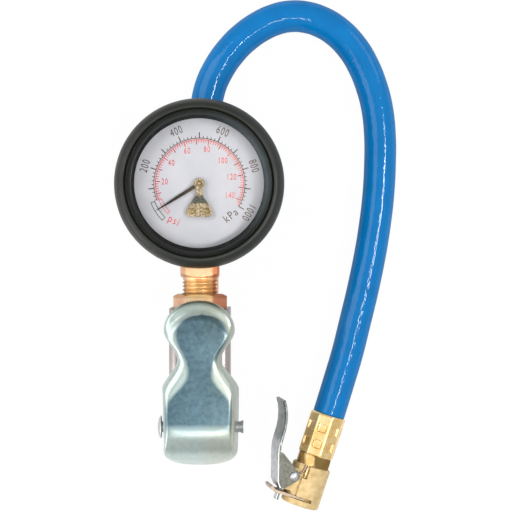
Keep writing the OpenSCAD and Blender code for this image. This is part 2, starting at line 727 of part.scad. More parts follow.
module movement_plate() {
  color("goldenrod") at_gauge() {
    difference() {
      translate([0, 0, plate_z]) linear_extrude(height = plate_t) difference() {
        polygon(let (half = [[plate_neck, -plate_foot], [plate_neck, -plate_high], [plate_half, plate_low],
          [plate_half, plate_high]]) concat(half, [for (k = [3 : -1 : 0]) [-half[k][0], half[k][1]]]));
        circle(r = arbor_r + run, $fn = 24);
        translate([0, -gear_distance]) circle(r = arbor_r + run, $fn = 24);
        for (s = [-1, 1]) {
          translate([s * rivet_x, -rivet_drop]) circle(r = 0.8, $fn = 24);
        }
      }
    }
    // Posts that carry the dial
    for (s = [-1, 1]) {
      translate([s * post_x, post_y, plate_z + plate_t - tiny]) cylinder(r = 1, h = dial_front - dial_t - plate_z - plate_t, $fn = 24);
    }
  }
}

module movement_bridge() {
  color([0.72, 0.62, 0.4]) at_gauge() {
    translate([0, 0, bridge_z]) linear_extrude(height = bridge_t) difference() {
      polygon(bell(0));
      circle(r = arbor_r + run, $fn = 24);
      for (s = [-1, 1]) {
        translate([s * rivet_x, -rivet_drop]) circle(r = 0.8, $fn = 24);
      }
    }
  }
}

// Two screws with spacer sleeves between the plate and the bridge
module bridge_screws() {
  color([0.75, 0.68, 0.5]) at_gauge() for (s = [-1, 1]) {
    translate([s * rivet_x, -rivet_drop, 0]) {
      translate([0, 0, plate_z]) cylinder(r = 0.75, h = bridge_z + bridge_t - plate_z + 0.1, $fn = 24);
      translate([0, 0, plate_z + plate_t + 0.02])
        cylinder(r = 1.4, h = bridge_z - plate_z - plate_t - 0.04, $fn = 24);
      translate([0, 0, bridge_z + bridge_t + 0.02]) cylinder(r1 = 1.3, r2 = 0.9, h = 0.6, $fn = 24);
    }
  }
}

module bourdon_tube() {
  tip = [tube_r * cos(tube_from), tube_r * sin(tube_from)];
  slot_from = tail_pin + [link_l, link_rise];
  color([0.85, 0.65, 0.3]) at_gauge() difference() {
    union() {
      bourdon_shape();
      // Tip block and its slotted plate
      translate([tip[0] - 0.75 * tip_w, tip[1] - tip_l + 0.2, block_low + 2]) cube([tip_w, tip_l, plate_z - block_low - 2]);
      translate([slot_from[0] - 1.4, slot_from[1] - tip_plate[1] / 2, plate_z - 0.5]) cube([tip_plate[0], tip_plate[1], 1]);
    }
    translate([slot_from[0] - 0.9, slot_from[1] - tip_slot[1] / 2, plate_z - 1.2]) cube([tip_slot[0], tip_slot[1], 4]);
  }
}

module sector_gear() {
  turn = sector_rest;
  color("goldenrod") at_gauge() translate([0, -gear_distance, 0]) {
    translate([0, 0, sector_z]) difference() {
      rotate([0, 0, turn]) linear_extrude(height = sector_t) union() {
        // Rim with straight-sided teeth
        intersection() {
          difference() {
            circle(r = sector_r - 1.25 * gear_module, $fn = fine);
            circle(r = sector_r - 1.6, $fn = fine);
          }
          polygon([[0, 0], [-sector_half, sector_high], [sector_half, sector_high]]);
        }
        for (k = [-6 : 6]) {
          rotate([0, 0, (k + 0.5) * 360 / sector_teeth]) translate([0, sector_r - 0.35]) polygon([
            [-0.17, -0.1], [0.17, -0.1], [0.14, 0.35], [0.07, 0.5], [-0.07, 0.5], [-0.14, 0.35]]);
        }
        // Two arms and the tail
        polygon([[-0.6, 0], [0.6, 0], [4, sector_r - 1.2], [2.6, sector_r - 0.9], [0, 3], [-2.6, sector_r - 0.9], [-4, sector_r - 1.2]]);
        circle(r = 1, $fn = 24);
        translate([-0.45, -tail_r]) square([0.9, tail_r]);
        translate([0, -tail_r]) circle(r = 0.8, $fn = 24);
      }
      rotate([0, 0, turn]) translate([0, -tail_r, -1]) cylinder(r = stud_r + run, h = 3, $fn = 24);
    }
    translate([0, 0, plate_z + 0.1]) cylinder(r = arbor_r, h = dial_front - dial_t - plate_z - 1, $fn = 24);
  }
}

module tip_link() {
  far = tail_pin + [link_l, link_rise];
  color([0.75, 0.7, 0.5]) at_gauge() {
    translate([0, 0, link_z]) linear_extrude(height = link_t) union() {
      translate(tail_pin) circle(r = 0.8, $fn = 24);
      translate(far) circle(r = 0.8, $fn = 24);
      polygon([tail_pin + [0, 0.4], tail_pin - [0, 0.4], far - [0, 0.4], far + [0, 0.4]]);
    }
    translate([tail_pin[0], tail_pin[1], link_z]) cylinder(r = stud_r, h = 2.2, $fn = 24);
    translate([far[0], far[1], plate_z - 0.8]) cylinder(r = stud_r, h = link_z - plate_z + 0.9, $fn = 24);
  }
}

// Arbor with its pinion
module pointer_arbor() {
  color([0.8, 0.75, 0.55]) at_gauge() {
    translate([0, 0, plate_z + 0.1]) cylinder(r = arbor_r, h = bridge_z + bridge_t - plate_z - 0.2, $fn = 24);
    translate([0, 0, sector_z - 0.2]) linear_extrude(height = sector_t + 0.4) union() {
      circle(r = 0.92, $fn = 24);
      for (k = [0 : pinion_teeth - 1]) {
        rotate([0, 0, 360 * k / pinion_teeth]) translate([0, 0.85]) polygon([
          [-0.15, 0], [0.15, 0], [0.13, 0.3], [0.06, 0.48], [-0.06, 0.48], [-0.13, 0.3]]);
      }
    }
  }
}

module pointer() {
  color([0.12, 0.1, 0.09]) at_gauge() translate([0, 0, pointer_z]) difference() {
    union() {
      cylinder(r = hub_r, h = 0.7, $fn = coarse);
      rotate([0, 0, pointer_rest]) linear_extrude(height = pointer_t) polygon([
        [0, -pointer_w / 2], [pointer_l * 0.55, -pointer_w * 0.38], [pointer_l - 0.6, -0.12], [pointer_l, 0],
        [pointer_l - 0.6, 0.12], [pointer_l * 0.55, pointer_w * 0.38], [0, pointer_w / 2]]);
    }
    translate([0, 0, -1]) cylinder(r = arbor_r + 0.01, h = 3, $fn = 24);
  }
}

// --- Hose and fittings, made along +Y from the hexagon's foot ---
module hose_tail(spigot_d, spigot_h) {
  length = tail_hex_h + ferrule_h - 1;
  difference() {
    union() {
      hex_bar(tail_af, tail_hex_h, true, true);
      translate([0, 0, tail_hex_h - tiny]) cylinder(r = barb_r, h = length - tail_hex_h, $fn = coarse);
      translate([0, 0, -spigot_h]) cylinder(d = spigot_d, h = spigot_h + tiny, $fn = fine);
    }
    translate([0, 0, -20]) cylinder(d = tail_bore, h = 60, $fn = coarse);
  }
}

module hose_ferrule() {
  corner = ferrule_af / 2 / cos(22.5);
  difference() {
    rotate([0, 0, 22.5]) cylinder(r = corner, h = ferrule_h, $fn = 8);
    translate([0, 0, ferrule_floor]) cylinder(r = ferrule_bore, h = ferrule_h, $fn = fine);
    translate([0, 0, -1]) cylinder(r = barb_r + 0.03, h = 4, $fn = coarse);
    for (k = [0 : 7], row = dimple_rows) {
      rotate([0, 0, 45 * k]) translate([ferrule_af / 2 - dimple_depth, -dimple / 2, row - dimple / 2])
        cube([1, dimple, dimple]);
    }
  }
}

module hose_tail_rear() {
  color([0.85, 0.7, 0.4]) translate([0, body_top, port_z]) along_y() hose_tail(tail_thread_d, tail_thread_h);
}

module hose_ferrule_rear() {
  color([0.85, 0.68, 0.4]) translate([0, body_top + tail_hex_h, port_z]) along_y() hose_ferrule();
}

// Direction from the chuck's mouth to the hose
chuck_dir = [-sin(chuck_turn), cos(chuck_turn), 0];

module hose() {
  rear_end = body_top + tail_hex_h + hose_in;
  start = [[0, rear_end, port_z], [0, rear_mouth - 0.2, port_z], [0, rear_mouth + 0.3, port_z]];
  finish = [
    chuck_at + chuck_dir * (front_mouth + 0.3), chuck_at + chuck_dir * (front_mouth - 0.2),
    chuck_at + chuck_dir * (chuck_h + tail_hex_h + hose_in)];
  path = concat(start, route, finish);
  crimped = [crimp_d / 2, crimp_d / 2];
  radii = concat(crimped, [for (i = [0 : len(path) - 5]) hose_d / 2], crimped);
  echo(hose_length = path_length(path));
  color([0.05, 0.45, 0.75]) bored_tube(path, radii, hose_bore / 2, hose_sides);
}
function path_length(p, i = 0) = i >= len(p) - 1 ? 0 : norm(p[i + 1] - p[i]) + path_length(p, i + 1);

module hose_ferrule_front() {
  color([0.9, 0.72, 0.42]) at_chuck() translate([0, chuck_h + tail_hex_h, 0]) along_y() hose_ferrule();
}

module hose_tail_front() {
  spigot_low = mouth_depth + seal_h + depressor_h + 0.1;
  color([0.85, 0.68, 0.38]) at_chuck() translate([0, chuck_h, 0]) along_y() rotate([0, 0, 30])
    hose_tail(seal_d, chuck_h - spigot_low);
}

// --- Chuck ---
module chuck_body() {
  lug_low = 4.6;
  lug_high = 13.2;
  lug_x = rivet_at[0] - 2;
  color([0.8, 0.68, 0.42]) at_chuck() difference() {
    union() {
      along_y() rotate_extrude($fn = fine) polygon([
        [0, 0], [chuck_d / 2 - 0.5, 0], [chuck_d / 2, 0.5], [chuck_d / 2, chuck_h - 0.4], [chuck_d / 2 - 0.4, chuck_h], [0, chuck_h]]);
      translate([lug_x, lug_low, -lug_w / 2]) cube([-lug_x, lug_high - lug_low, lug_w]);
    }
    // Flats beside the lever's cheeks
    for (s = [-1, 1]) {
      translate([-20, slot_y + slot_h / 2, s * (lug_w / 2 + 5) - 5]) cube([20 - 3.9, chuck_h, 10]);
    }
    // Mouth, seal recess and jaw slot
    translate([0, -tiny, 0]) along_y() cylinder(d = mouth_d, h = mouth_depth + 1, $fn = fine);
    translate([0, mouth_depth, 0]) along_y() cylinder(d = seal_d + 2 * fit, h = chuck_h, $fn = fine);
    translate([-20, slot_y - slot_h / 2, -20]) cube([20 + slot_x, slot_h, 40]);
    // Rivet hole and the spring's pocket
    translate([rivet_at[0], rivet_at[1], -20]) cylinder(r = rivet_d / 2 + 0.03, h = 40, $fn = coarse);
    translate([rivet_at[0], rivet_at[1], lug_w / 2 - pocket_depth]) cylinder(r = pocket_r, h = 10, $fn = coarse);
    translate([rivet_at[0] - 12, rivet_at[1] + coil_r - 0.7, lug_w / 2 - pocket_depth])
      cube([12, 1.4, pocket_depth + 5]);
    // Groove of the spring's other leg
    translate([rivet_at[0] + coil_r - 0.6, rivet_at[1] + 0.2, lug_w / 2 - groove_depth]) cube([groove_w, 6, 5]);
  }
}

module chuck_seal() {
  color([0.12, 0.12, 0.12]) at_chuck() translate([0, mouth_depth + 0.05, 0]) along_y() difference() {
    cylinder(d = seal_d, h = seal_h - 0.1, $fn = fine);
    translate([0, 0, -1]) cylinder(d = 4.4, h = seal_h + 2, $fn = coarse);
  }
}

module valve_depressor() {
  color([0.85, 0.68, 0.38]) at_chuck() translate([0, mouth_depth + seal_h, 0]) along_y() difference() {
    union() {
      cylinder(d = seal_d, h = depressor_h, $fn = fine);
      translate([0, 0, -seal_h + 0.2]) cylinder(d = 1.6, h = seal_h, $fn = 24);
    }
    for (a = [0 : 90 : 270]) {
      rotate([0, 0, a]) translate([2.6, 0, -1]) cylinder(d = 1.8, h = 5, $fn = 24);
    }
  }
}

// Centre line of the finger lever's strip, from its tip down to the jaw
strip_line = [
  [-19.6, 35.8], [-18.2, 33.6], [-17.1, 31], [-16.4, 28.4], [-16, 25.6], [-15.9, 22.6],
  [-15.8, 19.8], [-15.3, 17.2], [-14.1, 13.4], [-12.9, 9.8], [-11.8, 6.4], [-10.4, 4.7]
];
function flat_normal(p, i) = let (t = unit(p[min(i + 1, len(p) - 1)] - p[max(i - 1, 0)])) [-t[1], t[0]];
function ribbon(p, t) = concat(
  [for (i = [0 : len(p) - 1]) p[i] + t / 2 * flat_normal(p, i)],
  [for (i = [len(p) - 1 : -1 : 0]) p[i] - t / 2 * flat_normal(p, i)]);

module chuck_lever() {
  cheek = [[-15.4, 17.4], [-13.6, 17.2], [rivet_at[0] + 1.5, rivet_at[1] + 1.6], [rivet_at[0] + 1.5, rivet_at[1] - 1.6],
    [-9.3, 4.5], [-10.8, 4.9], [-12.1, 6.8]];
  color([0.66, 0.68, 0.69]) at_chuck() difference() {
    union() {
      translate([0, 0, -finger_w / 2]) linear_extrude(height = finger_w) polygon(ribbon(strip_line, finger_t));
      for (s = [-1, 1]) {
        translate([0, 0, s * (finger_w - finger_t) / 2 - finger_t / 2]) linear_extrude(height = finger_t) union() {
          polygon(cheek);
          translate(rivet_at) circle(r = cheek_r, $fn = coarse);
        }
      }
      // Tongue that passes through the jaw's window
      translate([0, 0, -2]) linear_extrude(height = 4) polygon([
        [-10.9, 5.3], [-9.5, 5.3], [-9, 4], [-9, -0.4], [-10, -0.4], [-10, 4]]);
    }
    translate([rivet_at[0], rivet_at[1], -20]) cylinder(r = rivet_d / 2 + run, h = 40, $fn = coarse);
  }
}

module chuck_rivet() {
  half = finger_w / 2 + 0.15;
  color([0.5, 0.5, 0.5]) at_chuck() translate([rivet_at[0], rivet_at[1], 0]) {
    translate([0, 0, -half - 0.1]) cylinder(d = rivet_d, h = 2 * half + 0.2, $fn = coarse);
    for (s = [0, 180]) {
      rotate([s, 0, 0]) translate([0, 0, half]) rotate_extrude($fn = coarse) polygon(concat(
        [[0, 0]], [for (a = [0 : 15 : 90]) [1.65 * cos(a), 0.1 + 0.7 * sin(a)]]));
    }
  }
}

// Torsion spring: a leg along the body, the curls round the rivet and a leg to the lever
chuck_coil = let (
  low = lug_w / 2 - pocket_depth + 0.2 + chuck_wire_d / 2,
  top = low + spring_turns * spring_pitch,
  turns = spring_turns + 0.25)
  concat(
    [[-4.2, coil_r, low], [-2.4, coil_r, low]],
    [for (i = [0 : 16]) [
      coil_r * cos(90 - 360 * i / 8), coil_r * sin(90 - 360 * i / 8), low + spring_pitch * i / 8]],
    [[coil_r, coil_r * 0.6, top], [3.2, 2.4, top + 0.35], [3.8, 5.2, top + 0.35]]
  );

module chuck_spring() {
  color([0.75, 0.76, 0.76]) at_chuck() translate([rivet_at[0], rivet_at[1], 0]) wire(chuck_coil, chuck_wire_d / 2);
}

module chuck_jaw() {
  curl = [[-11.2, slot_y], [-12.2, slot_y + 0.15], [-13, slot_y + 0.55], [-13.7, slot_y + 1.4]];
  color([0.6, 0.6, 0.58]) at_chuck() {
    difference() {
      translate([-11.4, slot_y - jaw_t / 2, -jaw_w / 2]) cube([11.4, jaw_t, jaw_w]);
      translate([0, -1, 0]) along_y() cylinder(r = mouth_d / 2 + 0.15, h = 10, $fn = fine);
      translate([0, -1, -20]) cube([10, 10, 40]);
      translate([-10.4, -1, -2.3]) cube([1.9, 10, 4.6]);
    }
    translate([0, 0, -jaw_w / 2]) linear_extrude(height = jaw_w) polygon(ribbon(curl, jaw_t));
  }
}

valve_body();
inlet_screen();
valve_seat();
valve_spring();
bottom_plug();
gland_nut();
plunger_seal();
plunger();
poppet_seal();
lever();
lever_pin();
gauge_bush();
gauge_socket();
gauge_case();
gauge_boot();
bezel_ring();
gauge_lens();
dial_plate();
movement_plate();
movement_bridge();
bridge_screws();
bourdon_tube();
sector_gear();
tip_link();
pointer_arbor();
pointer();
vent_plug();
hose_tail_rear();
hose_ferrule_rear();
hose();
hose_ferrule_front();
hose_tail_front();
chuck_body();
chuck_seal();
valve_depressor();
chuck_lever();
chuck_rivet();
chuck_spring();
chuck_jaw();
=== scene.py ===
# %% [markdown]
# # A tyre inflator with a dial gauge
# The real object is a hand tool: a plated valve body, a sheet steel trigger lever, a dial
# gauge in a rubber boot and a short hose with a brass clip-on chuck. It lies on its back.
# This lesson dresses the measured parts one by one. The first cell loads them as a fixed
# frame, and every later cell puts a finer piece exactly where its part is.

# %% Load the frame
import math

import bmesh
import bpy
from mathutils import Matrix, Vector


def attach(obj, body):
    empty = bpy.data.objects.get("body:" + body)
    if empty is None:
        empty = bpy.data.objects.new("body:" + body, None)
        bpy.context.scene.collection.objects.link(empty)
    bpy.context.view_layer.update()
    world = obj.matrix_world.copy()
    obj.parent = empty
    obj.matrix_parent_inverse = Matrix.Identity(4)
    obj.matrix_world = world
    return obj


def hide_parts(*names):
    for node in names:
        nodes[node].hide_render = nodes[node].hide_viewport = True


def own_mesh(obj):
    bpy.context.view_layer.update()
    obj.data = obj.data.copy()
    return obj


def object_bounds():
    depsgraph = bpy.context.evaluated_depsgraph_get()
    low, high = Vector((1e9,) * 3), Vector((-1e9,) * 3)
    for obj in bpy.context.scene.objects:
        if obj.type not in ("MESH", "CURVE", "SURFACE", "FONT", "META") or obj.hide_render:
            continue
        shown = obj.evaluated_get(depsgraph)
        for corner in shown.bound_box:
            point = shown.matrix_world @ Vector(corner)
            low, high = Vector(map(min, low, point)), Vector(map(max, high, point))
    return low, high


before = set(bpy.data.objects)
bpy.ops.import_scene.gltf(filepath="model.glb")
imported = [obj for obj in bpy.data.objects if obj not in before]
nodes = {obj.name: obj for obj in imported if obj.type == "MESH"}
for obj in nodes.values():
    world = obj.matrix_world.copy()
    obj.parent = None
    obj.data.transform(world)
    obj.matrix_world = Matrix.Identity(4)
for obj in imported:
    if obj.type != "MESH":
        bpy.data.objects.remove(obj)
cad_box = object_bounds()
MM = 0.001

# %% [markdown]
# A product shot of a flat tool is taken from straight above with a longish lens. The lens is
# set from the width of the tool in the frame, because a long lens keeps the hose and the tall
# gauge in proportion.

# %% Camera
EYE = (21.0, 46.3, 750.0)
FOCAL, SENSOR = 138.4, 36.0


def add_object(name, data):
    """Puts an object with that data into the scene."""
    obj = bpy.data.objects.new(name, data)
    bpy.context.scene.collection.objects.link(obj)
    return obj


camera_data = bpy.data.cameras.new("shot")
camera_data.lens, camera_data.sensor_width = FOCAL, SENSOR
camera_data.clip_start = 0.01
camera = add_object("shot", camera_data)
camera.location = [v * MM for v in EYE]
bpy.context.scene.camera = camera
print("camera at", [round(v, 4) for v in camera.location])

# %% [markdown]
# Every finish here is made the same way: a base colour that drifts a little over the surface,
# a roughness that drifts with it, and a fine bump. One helper builds that set of nodes from
# plain numbers, so each finish below is a short list of what makes it different. Patterns
# read Object coordinates, so they stay put when a piece moves. Sizes are in millimetres and
# colours are as they look on screen, 0 to 255.

# %% Finish helper
def tint(red, green, blue):
    """A colour as it looks on screen, turned into Blender's linear values."""
    def linear(v):
        v = v / 255
        return v / 12.92 if v <= 0.04045 else ((v + 0.055) / 1.055) ** 2.4
    return (linear(red), linear(green), linear(blue), 1.0)


class Tree:
    """A node tree whose nodes and links are added in one line each."""
    def __init__(self, tree):
        self.tree = tree

    def feed(self, target, source):
        """Links a node's first output, or a socket, to a socket, or gives it a plain value."""
        if isinstance(source, bpy.types.Node):
            source = source.outputs[0]
        if isinstance(source, bpy.types.NodeSocket):
            self.tree.links.new(source, target)
        else:
            target.default_value = source

    def add(self, kind, *sources, **values):
        """Adds a node, sets its named properties or sockets, and feeds its first sockets."""
        node = self.tree.nodes.new(kind)
        for key, value in values.items():
            if hasattr(node, key):
                setattr(node, key, value)
            else:
                self.feed(node.inputs[key.replace("_", " ")], value)
        for target, source in zip(node.inputs, sources):
            self.feed(target, source)
        return node

    def math(self, operation, *terms):
        return self.add("ShaderNodeMath", *terms, operation=operation)


class Nodes(Tree):
    """The node tree of a material, new or given."""
    def __init__(self, material):
        if isinstance(material, str):
            material = bpy.data.materials.new(material)
            material.use_nodes = True
        super().__init__(material.node_tree)
        self.material = material
        self.shader = self.tree.nodes["Principled BSDF"]

    def wear(self, **values):
        """Feeds the shader's own sockets."""
        for key, value in values.items():
            self.feed(self.shader.inputs[key.replace("_", " ")], value)

    def place(self):
        """Object coordinates in millimetres."""
        spot = self.add("ShaderNodeTexCoord").outputs["Object"]
        return self.add("ShaderNodeMapping", spot, Scale=(1 / MM, 1 / MM, 1 / MM))

    def axes(self, place):
        """The x, y and z of a place, each a socket."""
        return self.add("ShaderNodeSeparateXYZ", place).outputs

    def noise(self, size, place, detail=3.0, rough=0.55):
        return self.add("ShaderNodeTexNoise", place, Scale=1 / size, Detail=detail, Roughness=rough)

    def ramp(self, source, low, high, first, second):
        """Blends two screen colours where the source goes from low to high."""
        ramp = self.add("ShaderNodeValToRGB", source)
        for element, at, colour in zip(ramp.color_ramp.elements, (low, high), (first, second)):
            element.position = at
            element.color = tint(*colour)
        return ramp

    def spread(self, source, low, high, to_low=0.0, to_high=1.0):
        """Maps the source's range low..high to another range."""
        return self.add("ShaderNodeMapRange", source, low, high, to_low, to_high)

    def mix(self, share, first, second, blend_type="MIX"):
        """Mixes two colours."""
        mix = self.add("ShaderNodeMix", share, data_type="RGBA", blend_type=blend_type)
        self.feed(mix.inputs[6], first)
        self.feed(mix.inputs[7], second)
        return mix.outputs[2]

    def bump(self, source, depth, before=None):
        """A bump of that depth in millimetres, on top of an earlier one."""
        bump = self.add("ShaderNodeBump", Strength=1.0, Distance=depth * MM)
        self.feed(bump.inputs["Height"], source)
        if before is not None:
            self.feed(bump.inputs["Normal"], before)
        return bump


def finish(name, first, second, metallic=0.0, rough=(0.3, 0.4), drift=6.0, grain=0.15,
           grain_depth=0.004, wave=0.0, wave_size=8.0, split=(0.35, 0.65), **extra):
    """A finish with drifting colour and roughness, a fine grain and a slow wave."""
    n = Nodes(name)
    where = n.place()
    broad = n.noise(drift, where, 4.0)
    last = n.bump(n.noise(grain, where, 2.0), grain_depth)
    if wave:
        last = n.bump(n.noise(wave_size, where, 1.0), wave, last)
    n.wear(Base_Color=n.ramp(broad, *split, first, second), Metallic=metallic, Normal=last,
           Roughness=n.spread(broad, 0.3, 0.7, *rough), **extra)
    if "Coat_Weight" in extra:
        n.wear(Coat_Normal=last)
    return n.material


def shade_by(material, axis, stops):
    """Multiplies a finish's colour by tones laid out along an axis, in millimetres."""
    n = Nodes(material)
    before = n.shader.inputs["Base Color"].links[0].from_socket
    low, high = stops[0][0], stops[-1][0]
    along = n.axes(n.add("ShaderNodeTexCoord").outputs["Object"])[axis]
    ramp = n.add("ShaderNodeValToRGB", n.spread(along, low * MM, high * MM))
    while len(ramp.color_ramp.elements) < len(stops):
        ramp.color_ramp.elements.new(0.5)
    for element, (at, tone) in zip(ramp.color_ramp.elements, stops):
        element.position = (at - low) / (high - low)
        element.color = (*tone, 1) if isinstance(tone, tuple) else (tone, tone, tone, 1)
    n.wear(Base_Color=n.mix(1.0, before, ramp, "MULTIPLY"))


print("finish helper ready")

# %% [markdown]
# The hose is a 12 mm air hose of smooth blue plastic. It leaves the back of the valve body,
# runs flat under the gauge, bends over in one arch and comes down to the chuck. A hose is
# one even tube, so a curve with a round bevel is the natural tool: the curve is its real
# centreline and its length can be measured. The tube is pinched inside the two ferrules.

# %% Hose route
HOSE_D = 12.0
CRIMP_D = 10.7
BODY_TOP = 27.8
TAIL_HEX = 4.0
FERRULE_H = 16.0
PORT_Z = 7.5
CHUCK_AT = Vector((36.6, -46.3, 7.4))
CHUCK_TURN = -18.2
CHUCK_ROLL = 14.0
CHUCK_H = 15.5
HOSE_IN = 1.2  # how far each end of the hose stands over its tail's hexagon
PINCH = (-0.2, 0.3)  # where the hose widens, from the mouth of its ferrule
HOSE_REST = 6.3
chuck_line = Vector((-math.sin(math.radians(CHUCK_TURN)), math.cos(math.radians(CHUCK_TURN)), 0))
rear_mouth = BODY_TOP + TAIL_HEX + FERRULE_H
front_mouth = CHUCK_H + TAIL_HEX + FERRULE_H
under_gauge = [(0, 58, 7.2), (0, 72, 6.6)]
lying = [(0.4, 85), (1.3, 97), (2.9, 109), (6.3, 117), (11.6, 124.5), (16.4, 129.2), (22, 133.1),
         (28, 135.8), (33.5, 136.9), (39, 136.6), (44.6, 134.9), (50.5, 131.4), (56.5, 125.3),
         (60.6, 118.6), (63.7, 111), (65.9, 102.5), (67, 92), (67, 81), (66.4, 70), (65, 58),
         (63, 46), (60.5, 34)]
to_chuck = [(57.6, 22, 6.4), (54.6, 10, 6.6), (51.6, 0, 6.9), (49.6, -6.5, 7.2)]
start = [(0, y, PORT_Z) for y in (BODY_TOP + TAIL_HEX + HOSE_IN, *(rear_mouth + d for d in PINCH))]
end = [CHUCK_AT + chuck_line * d for d in
       (front_mouth + PINCH[1], front_mouth + PINCH[0], CHUCK_H + TAIL_HEX + HOSE_IN)]
route = start + under_gauge + [(x, y, HOSE_REST) for x, y in lying] + to_chuck + end
hose_points = [Vector(p) for p in route]
print("route points:", len(hose_points))

# %% Hose
hose_curve = bpy.data.curves.new("air_hose", "CURVE")
hose_curve.dimensions = "3D"
hose_curve.bevel_depth = 1.0  # so that each knot's radius is the hose's own, in metres
hose_curve.bevel_resolution = 10
hose_curve.resolution_u = 10
hose_curve.use_fill_caps = True
spline = hose_curve.splines.new("BEZIER")
spline.bezier_points.add(len(hose_points) - 1)
pinched = (0, 1, len(hose_points) - 2, len(hose_points) - 1)
for number, (knot, point) in enumerate(zip(spline.bezier_points, hose_points)):
    knot.co = point * MM
    knot.handle_left_type = knot.handle_right_type = "AUTO"
    knot.radius = (CRIMP_D if number in pinched else HOSE_D) / 2 * MM
hose = add_object("air_hose", hose_curve)
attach(hose, "handpiece")
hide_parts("hose")

# %% [markdown]
# The finishes come next, one for each real material. The hose is soft PVC, so it gets a
# broad sheen with slow waves in it that break up its highlight. Brass, zinc and rubber are
# built from the same helper, and only their numbers differ. A few are also shaded along an
# axis, where a dark or a light side of the studio falls on them.

# %% Finishes
HOSE_BLUE = finish(
    "hose_blue", (0, 107, 170), (0, 99, 159), rough=(0.5, 0.6), drift=9.0, grain=0.6,
    grain_depth=0.0006, wave=0.12, wave_size=2.6, split=(0.3, 0.7), Coat_Weight=0.2,
    Coat_Roughness=0.07, Coat_IOR=1.9, Specular_IOR_Level=0.03)
BOOT_RUBBER = finish(
    "boot_rubber", (27, 30, 24), (19, 22, 17), rough=(0.42, 0.55), drift=12.0, grain=0.35,
    grain_depth=0.012, wave=0.05, wave_size=9.0, Specular_IOR_Level=0.4)
SEAL_RUBBER = finish("seal_rubber", (38, 40, 39), (28, 29, 29), rough=(0.5, 0.6), drift=2.0,
                     grain=0.2, grain_depth=0.006)
BEZEL_BLACK = finish("bezel_black", (54, 64, 66), (44, 52, 54), rough=(0.36, 0.46), drift=8.0,
                     grain=0.25, grain_depth=0.008, Specular_IOR_Level=0.3)
# Painted shade: the bezel is darkened strongly on its left and on its lower side.
shade_by(BEZEL_BLACK, 0, [(-28, (0.08, 0.08, 0.07)), (2, (0.16, 0.16, 0.15)), (18, 0.8), (26, 1)])
shade_by(BEZEL_BLACK, 1, [(45, (0.1, 0.1, 0.09)), (56, 0.2), (68, 1), (100, 1)])
CASE_BLACK = finish("case_black", (40, 42, 41), (30, 31, 31), 0.6, (0.4, 0.5), 8.0, 0.3, 0.01)
PLATED_BODY = finish("plated_body", (172, 165, 162), (158, 149, 146), 0.85, (0.4, 0.46), 7.0,
                     0.4, 0.012, wave=0.02, wave_size=4.0)
ZINC_STEEL = finish("zinc_steel", (168, 190, 194), (140, 163, 172), 0.9, (0.26, 0.42), 2.2,
                    0.18, 0.006, wave=0.02, wave_size=5.0)
BRIGHT_STEEL = finish("bright_steel", (196, 198, 200), (166, 168, 171), 0.9, (0.36, 0.48), 2.5,
                      0.15, 0.005)
FINGER_STEEL = finish("finger_steel", (172, 176, 178), (132, 134, 136), 0.85, (0.3, 0.42), 2.0,
                      0.16, 0.008)
SPRING_STEEL = finish("spring_steel", (206, 186, 174), (170, 150, 140), 0.8, (0.4, 0.5), 1.5,
                      0.12, 0.004)
PINK_BRASS = finish("pink_brass", (255, 222, 176), (242, 192, 142), 0.65, (0.3, 0.4), 4.0,
                    0.2, 0.005)
BRASS = finish("brass", (248, 222, 168), (224, 184, 114), 0.8, (0.28, 0.38), 4.0, 0.2, 0.006)
SATIN_BRASS = finish("satin_brass", (220, 198, 152), (198, 174, 126), 0.75, (0.68, 0.78), 3.0,
                     0.22, 0.014)
MOVEMENT_BRASS = finish("movement_brass", (150, 132, 98), (84, 70, 46), 0.7, (0.42, 0.55), 0.7,
                        0.12, 0.01)
DIAL_WHITE = finish("dial_white", (193, 193, 198), (186, 187, 192), rough=(0.4, 0.5),
                    drift=12.0, grain=0.3, grain_depth=0.001)
POINTER_BLACK = finish("pointer_black", (88, 74, 52), (62, 51, 36), rough=(0.5, 0.6), drift=1.0,
                       Specular_IOR_Level=0.2)
shade_by(POINTER_BLACK, 0, [(-15, 0.16), (-7, 0.3), (-2, 1), (6, 1)])


def print_ink(name, left, right):
    """Printing ink that turns a little lighter towards the right of the dial."""
    n = Nodes(name)
    across = n.spread(n.axes(n.place())[0], -20.0, 22.0)
    n.wear(Base_Color=n.ramp(across, 0.0, 1.0, left, right), Roughness=0.65,
           Specular_IOR_Level=0.2)
    return n.material


PRINT_BLACK = print_ink("print_black", (52, 46, 42), (104, 84, 62))
PRINT_RED = print_ink("print_red", (208, 34, 60), (238, 122, 100))

glass = Nodes("gauge_glass")
glass.wear(Base_Color=(1, 1, 1, 1), Roughness=0.0, Transmission_Weight=1.0, IOR=1.46, Alpha=0.3)
GLASS = glass.material
print("finishes:", len(bpy.data.materials))

# %% [markdown]
# Parts that are hidden inside the tool, or whose measured shape is already right, keep their
# own meshes and only get a finish. A table of finish and parts keeps that in one place.

# %% Give every part a finish
finish_parts = [
    (PLATED_BODY, "valve_body"), (ZINC_STEEL, "lever"), (CASE_BLACK, "gauge_case"),
    (BOOT_RUBBER, "gauge_boot"), (BEZEL_BLACK, "bezel_ring"), (GLASS, "gauge_lens"),
    (DIAL_WHITE, "dial_plate"), (POINTER_BLACK, "pointer"), (HOSE_BLUE, "hose"),
    (SATIN_BRASS, "chuck_body"), (SPRING_STEEL, "chuck_spring"),
    (FINGER_STEEL, "chuck_lever chuck_jaw"), (PINK_BRASS, "gauge_bush gauge_socket"),
    (SEAL_RUBBER, "plunger_seal poppet_seal vent_plug chuck_seal"),
    (BRIGHT_STEEL, "valve_spring plunger lever_pin chuck_rivet"),
    (BRASS, "valve_seat bottom_plug gland_nut hose_tail_rear hose_ferrule_rear "
            "hose_ferrule_front hose_tail_front valve_depressor"),
    (MOVEMENT_BRASS, "inlet_screen movement_plate movement_bridge bridge_screws bourdon_tube "
                     "sector_gear tip_link pointer_arbor")]
